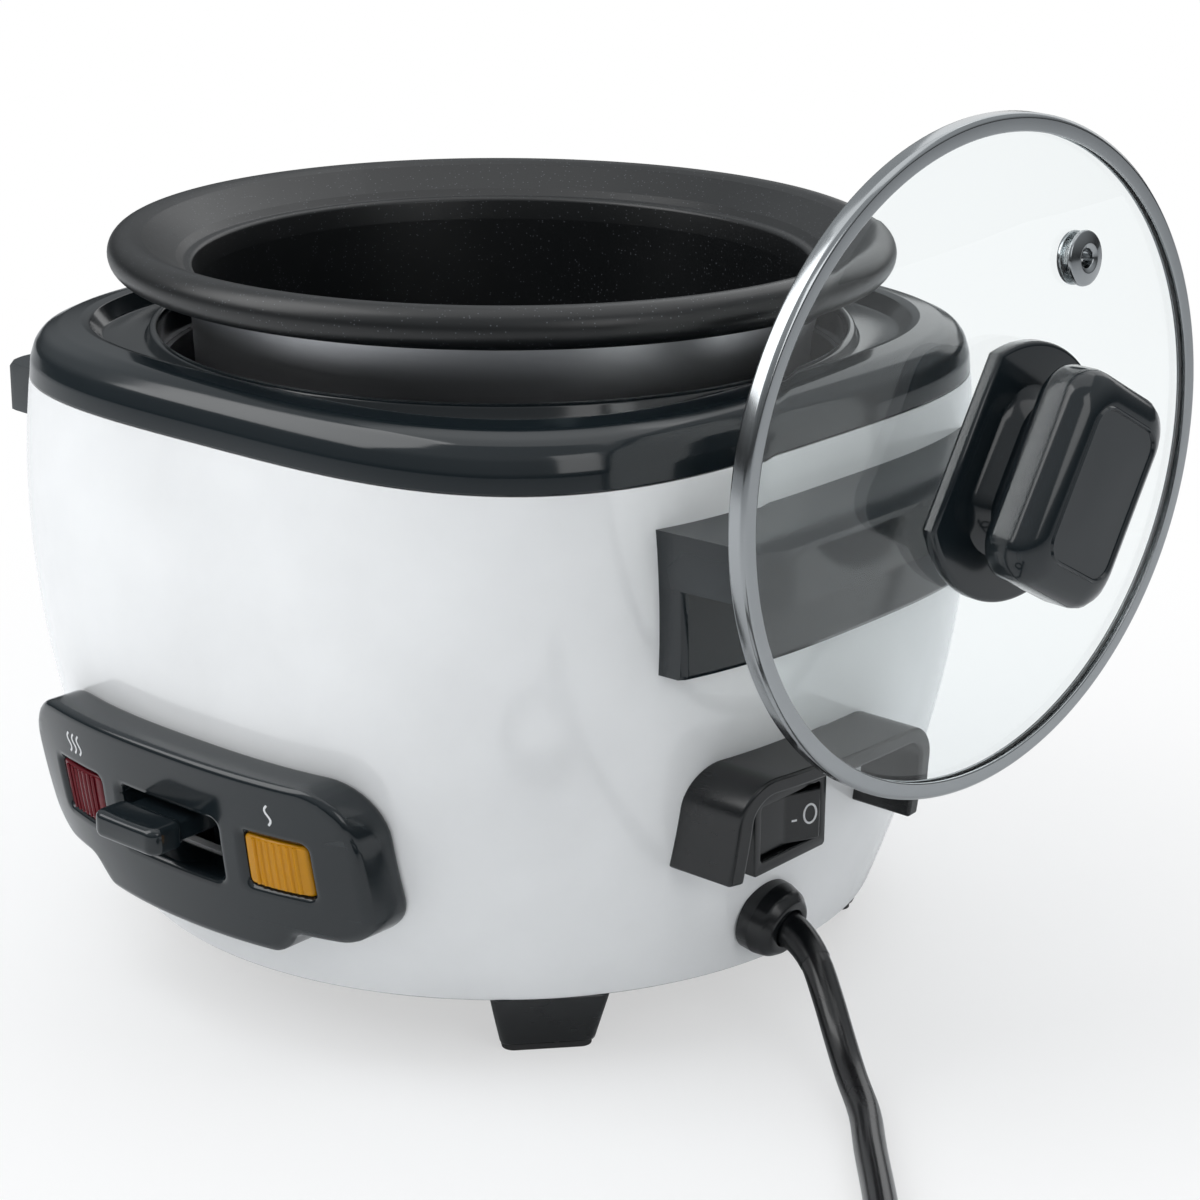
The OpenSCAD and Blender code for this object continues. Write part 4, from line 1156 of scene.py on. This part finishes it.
# ---------------------------------------------------------------- pot
class COOKER_OT_pot(bpy.types.Operator):
    """Makes the inner pot with its rolled rim."""

    bl_idname = "cooker.pot"
    bl_label = "Inner pot"

    def execute(self, context):
        s = sizes()
        base = POT_LOW[2] / MM
        h, rim = s.pot_h, s.pot_rim_r
        wall, t = rim - 19.5, 1.6
        foot = wall - 5
        roll = [(rim - 5 + x, h - 5 + z) for x, z in (turned(5, 0, math.radians(a)) for a in range(-150, 118, 8))]
        outside = [(0, 0, 0), (foot, 0, 14), (wall - 0.2, h - 12, 3), (wall + 2, h - 9.6, 2),
                   (rim - 9.2, h - 8.2, 1.5)]
        outer = fillet(outside, closed=False, steps=12)
        inside = [(rim - 8.6, h - 1.1, 1.2), (rim - 16.8, h - 6.3, 1.2), (rim - 18.6, h - 8.0, 1.0),
                  (wall - t + 0.4, h - 8.2, 1.2), (wall - t - 0.3, h - 14, 3), (foot - t, t, 12.5), (0, t, 0)]
        inner = fillet([(*roll[-1], 0)] + inside, closed=False, steps=12)
        bm = bmesh.new()
        lathe(bm, [(r, base + z) for r, z in outer + roll + inner[1:]], s.turns, closed=False,
              tag=lambda j: 1 if j < len(outer) else 0)
        piece("cooking_pot", bm, [nonstick(), bare_aluminium()], "pot", ("inner_pot",), angle=60)
        return {"FINISHED"}


# ---------------------------------------------------------------- lid
LID_TURN = math.radians(-6)
LID_X = GRIP_OUT + 1 + 63 * math.tan(-LID_TURN) + 0.6  # clear of the grip's far corner
LID_Y, LID_Z = 5, 147
GLASS_T, FLANGE_T = 3.6, 0.8
KNOB_TURN = math.radians(-29)
VENT_TURN, VENT_SHARE = math.radians(147.5), 0.658  # round the glass, and as a share of its radius


def lid_spot(x, y, z):
    """A point of the parked lid: x down, y along its width and z out of the glass."""
    out, side = turned(z, y, LID_TURN)
    return spot(LID_X + out, LID_Y + side, LID_Z - x)


class COOKER_OT_lid(bpy.types.Operator):
    """Makes the glass lid with its rim and steam vent."""

    bl_idname = "cooker.lid"
    bl_label = "Glass lid"

    def execute(self, context):
        s = sizes()
        r, rise, t, flange = s.lid_r, s.dome_h, GLASS_T, FLANGE_T
        top = flange + t + rise
        ball = ((r - 4) ** 2 + rise ** 2) / (2 * rise)
        dome = lambda x, z0: z0 - ball + math.sqrt(ball * ball - x * x)
        outer = [(x, dome(x, top)) for x in [(r - 4) * i / 20 for i in range(21)]]
        inner = [(x, dome(x, top - t)) for x in [(r - 4) * i / 20 for i in range(20, -1, -1)]]
        edge = [(r - 2.4, flange + t - 0.02), (r - 1.3, flange + t - 0.5), (r - 1.25, flange + 0.5),
                (r - 1.7, flange + 0.02)]
        bm = bmesh.new()
        lathe(bm, outer + edge + inner, s.turns, lid_spot, closed=False)
        lean = math.asin(VENT_SHARE * r / ball)

        def vent(x, y, z):
            x, z = turned(x, z + ball, -lean)
            return lid_spot(*turned(x, y, VENT_TURN), z + top - ball)

        holes = []
        for place, size in ((vent, 4.25), (lid_spot, 2.6)):
            hole = bmesh.new()
            mid = 0 if place is vent else top
            lathe(hole, [(0, mid - 9), (size, mid - 9), (size, mid + 9), (0, mid + 9)], 40, place, closed=False)
            holes.append(hole)
        bm = cut(bm, holes)
        clear = glass("clear_glass", (0.93, 0.965, 0.97), ior=1.38)
        piece("lid_dome", bm, clear, "lid", ("lid_glass",), angle=30)
        band = [(r - 4.2, 0, 0.3), (r - 0.9, 0, 0.9), (r, 0.9, 0.9), (r, 4.3, 0.9), (r - 0.9, 5.2, 0.9),
                (r - 4.2, 5.2, 0.5), (r - 4.2, 4.45, 0.2), (r - 1.2, 4.45, 0.2), (r - 1.2, 0.75, 0.2),
                (r - 4.2, 0.75, 0.2)]
        bm = bmesh.new()
        lathe(bm, fillet(band, steps=4), s.turns, lid_spot)
        piece("lid_band", bm, polished_steel(), "lid", ("lid_rim",), angle=45)
        eye = [(2.2, -t - 1.2, 0.3), (6.2, -t - 1.2, 0.5), (6.2, -t - 0.05, 0.2), (4.2, -t - 0.05, 0), (4.2, 0.05, 0),
               (6.6, 0.05, 0.3), (6.3, 1.0, 0.5), (3.4, 1.8, 0.5), (2.2, 1.2, 0.4)]
        bm = bmesh.new()
        lathe(bm, fillet(eye, steps=4), 72, vent)
        piece("vent_eyelet", bm, polished_steel(), "lid", ("lid_vent",), angle=45)
        return {"FINISHED"}


class COOKER_OT_knob(bpy.types.Operator):
    """Makes the lid's knob."""

    bl_idname = "cooker.knob"
    bl_label = "Lid knob"

    def execute(self, context):
        base = FLANGE_T + GLASS_T + sizes().dome_h + 0.5

        def seat(x, y, z):
            return lid_spot(*turned(x, y, KNOB_TURN), base + z)

        def stacked(steps):
            """A solid through rounded rectangles (height, width, depth, corner)."""
            bm = bmesh.new()
            skin(bm, [[seat(p.x, p.y, z) for p in box_outline(w, h, r)] for z, w, h, r in steps])
            return bm
        side = math.asin(21.5 / 30)
        rim = [(30 * math.cos(a), 30 * math.sin(a)) for a in [-side + 2 * side * i / 28 for i in range(29)]]
        bm = plate(rim + [(-x, -y) for x, y in rim], [], 4, 1.1)
        move(bm, lambda co: seat(co.x, co.y, co.z))
        join(bm, stacked([(3.0, 44, 31, 12), (4.0, 40, 27, 11), (5.5, 36, 24, 10), (8, 34, 22, 9), (11, 36, 24, 9)]))
        piece("knob_flange", bm, charcoal(), "lid", ("knob_base",), angle=40)
        bm = stacked([(11, 38, 22, 6), (11.2, 42, 26, 7), (13, 47, 32, 8), (14.6, 49.4, 34.4, 8.4), (16, 50, 35, 8.5),
                      (21.6, 50, 35, 8.5), (23.4, 49.2, 34.2, 8.3), (25.2, 46.8, 31.8, 7.8), (26.6, 42.6, 28.4, 7),
                      (27.2, 38.6, 25.6, 6), (27.3, 36.8, 24.4, 5.2), (27.85, 36.2, 23.8, 5), (27.85, 35.4, 23, 4.8),
                      (27.3, 34.8, 22.4, 4.6), (27.3, 30, 18, 3.6), (27.4, 20, 10, 3), (27.45, 6, 3, 1)])
        piece("knob_handle", bm, charcoal(), "lid", ("knob_grip",), angle=50)
        return {"FINISHED"}


# ---------------------------------------------------------------- carried-over nodes
class COOKER_OT_inside(bpy.types.Operator):
    """Gives every piece kept from the frame its own finish."""

    bl_idname = "cooker.inside"
    bl_label = "Inner parts"

    def execute(self, context):
        kept = (
            (bare_aluminium(), ("inner_liner", "thermostat_housing", "thermostat_plunger")),
            (plated_steel(), ("base_plate", "foot_screws", "foot_nuts", "panel_screws", "handle_screws", "lever_arm",
                              "lever_bracket", "lever_pin", "heating_element", "plate_posts", "knob_screw")),
            (dark_rubber(), ("foot_pads", "magnet", "knob_gasket")),
            (polished_steel(), ("lever_spring", "plunger_spring")),
            (black_plastic(), ("micro_switch", "gland_nut")),
            (ceramic(), ("element_posts", "thermal_fuse", "terminal_block")),
            (brass(), ("switch_tabs",)),
            (cast_aluminium(), ("heating_plate",)),
            (glass("lamp_glass", (0.9, 0.88, 0.8), 0.05), ("indicator_lamps",)),
            (wire_sleeve(), ("wiring",)),
        )
        for finish, names in kept:
            for name in names:
                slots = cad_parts[name].data.materials
                slots.clear()
                slots.append(finish)
        return {"FINISHED"}


class COOKER_OT_stage(bpy.types.Operator):
    """Sets the floor, the studio lights and the surroundings."""

    bl_idname = "cooker.stage"
    bl_label = "Stage"

    def execute(self, context):
        bm = bmesh.new()
        skin(bm, [[Vector((x, y, z)) for x, y in ((-3, -3), (3, -3), (3, 3), (-3, 3))] for z in (-0.012, -0.0002)])
        floor = in_scene("floor", to_mesh(bm, "floor"))
        floor.data.materials.append(floor_finish())
        aim = spot(20, 0, 90)
        for name, at, size, power in (("key", (-420, -560, 760), 0.62, 4.6), ("side", (760, -240, 520), 0.30, 0.7),
                                      ("back", (-120, 760, 620), 0.7, 1.8), ("top", (60, 40, 980), 0.8, 2.2)):
            data = bpy.data.lights.new(name, "AREA")
            data.shape = "RECTANGLE"
            data.size, data.size_y = size, size * 1.3
            data.energy = power
            lamp, where = in_scene(name, data), spot(*at)
            facing = (aim - where).to_track_quat("-Z", "Y").to_matrix().to_4x4()
            lamp.matrix_world = Matrix.Translation(where) @ facing
        world = bpy.data.worlds.new("studio")
        world.use_nodes = True
        tree = world.node_tree
        soft = fill(tree, tree.nodes["Background"], {0: (0.95, 0.975, 1.0, 1), 1: 0.54})
        way = node(tree, "ShaderNodeTexCoord").outputs["Generated"]
        up = node(tree, "ShaderNodeSeparateXYZ", {0: way}).outputs["Z"]
        height = span(tree, up, 0.05, 0.55, 0.07, 0.60)
        mirrored = node(tree, "ShaderNodeBackground", {0: (0.93, 0.97, 1.0, 1), 1: height})
        white = node(tree, "ShaderNodeBackground", {0: (1, 1, 1, 1)})
        shiny = node(tree, "ShaderNodeLightPath").outputs["Is Glossy Ray"]
        lit = node(tree, "ShaderNodeMixShader", {0: shiny, 1: soft.outputs[0], 2: mirrored.outputs[0]})
        last = node(tree, "ShaderNodeMixShader", {0: seen_directly(tree), 1: lit.outputs[0], 2: white.outputs[0]})
        fill(tree, tree.nodes["World Output"], {0: last.outputs[0]})
        context.scene.world = world
        context.scene.view_settings.view_transform = "Standard"
        return {"FINISHED"}


OPERATORS = [COOKER_OT_camera, COOKER_OT_cord, COOKER_OT_shell, COOKER_OT_ring, COOKER_OT_handles, COOKER_OT_panel,
             COOKER_OT_lever, COOKER_OT_bracket, COOKER_OT_switch, COOKER_OT_gland, COOKER_OT_feet, COOKER_OT_pot,
             COOKER_OT_lid, COOKER_OT_knob, COOKER_OT_inside, COOKER_OT_stage]


class COOKER_PT_panel(bpy.types.Panel):
    """Lists the pieces of the rice cooker."""

    bl_label = "Rice cooker"
    bl_idname = "COOKER_PT_panel"
    bl_space_type = "VIEW_3D"
    bl_region_type = "UI"
    bl_category = "Rice cooker"

    def draw(self, context):
        for op in OPERATORS:
            self.layout.operator(op.bl_idname)
        for owner in (context.scene.cooker_sizes, context.scene.cooker_colours):
            box = self.layout.box()
            for name in owner.__annotations__:
                box.prop(owner, name)


CLASSES = [CookerSizes, CookerColours] + OPERATORS + [COOKER_PT_panel]


def register():
    for c in CLASSES:
        bpy.utils.register_class(c)
    bpy.types.Scene.cooker_sizes = PointerProperty(type=CookerSizes)
    bpy.types.Scene.cooker_colours = PointerProperty(type=CookerColours)


def unregister():
    del bpy.types.Scene.cooker_colours
    del bpy.types.Scene.cooker_sizes
    for c in reversed(CLASSES):
        bpy.utils.unregister_class(c)


def main():
    register()
    for op in OPERATORS:
        group_name, call = op.bl_idname.split(".")
        getattr(getattr(bpy.ops, group_name), call)()


if __name__ == "__main__":
    main()
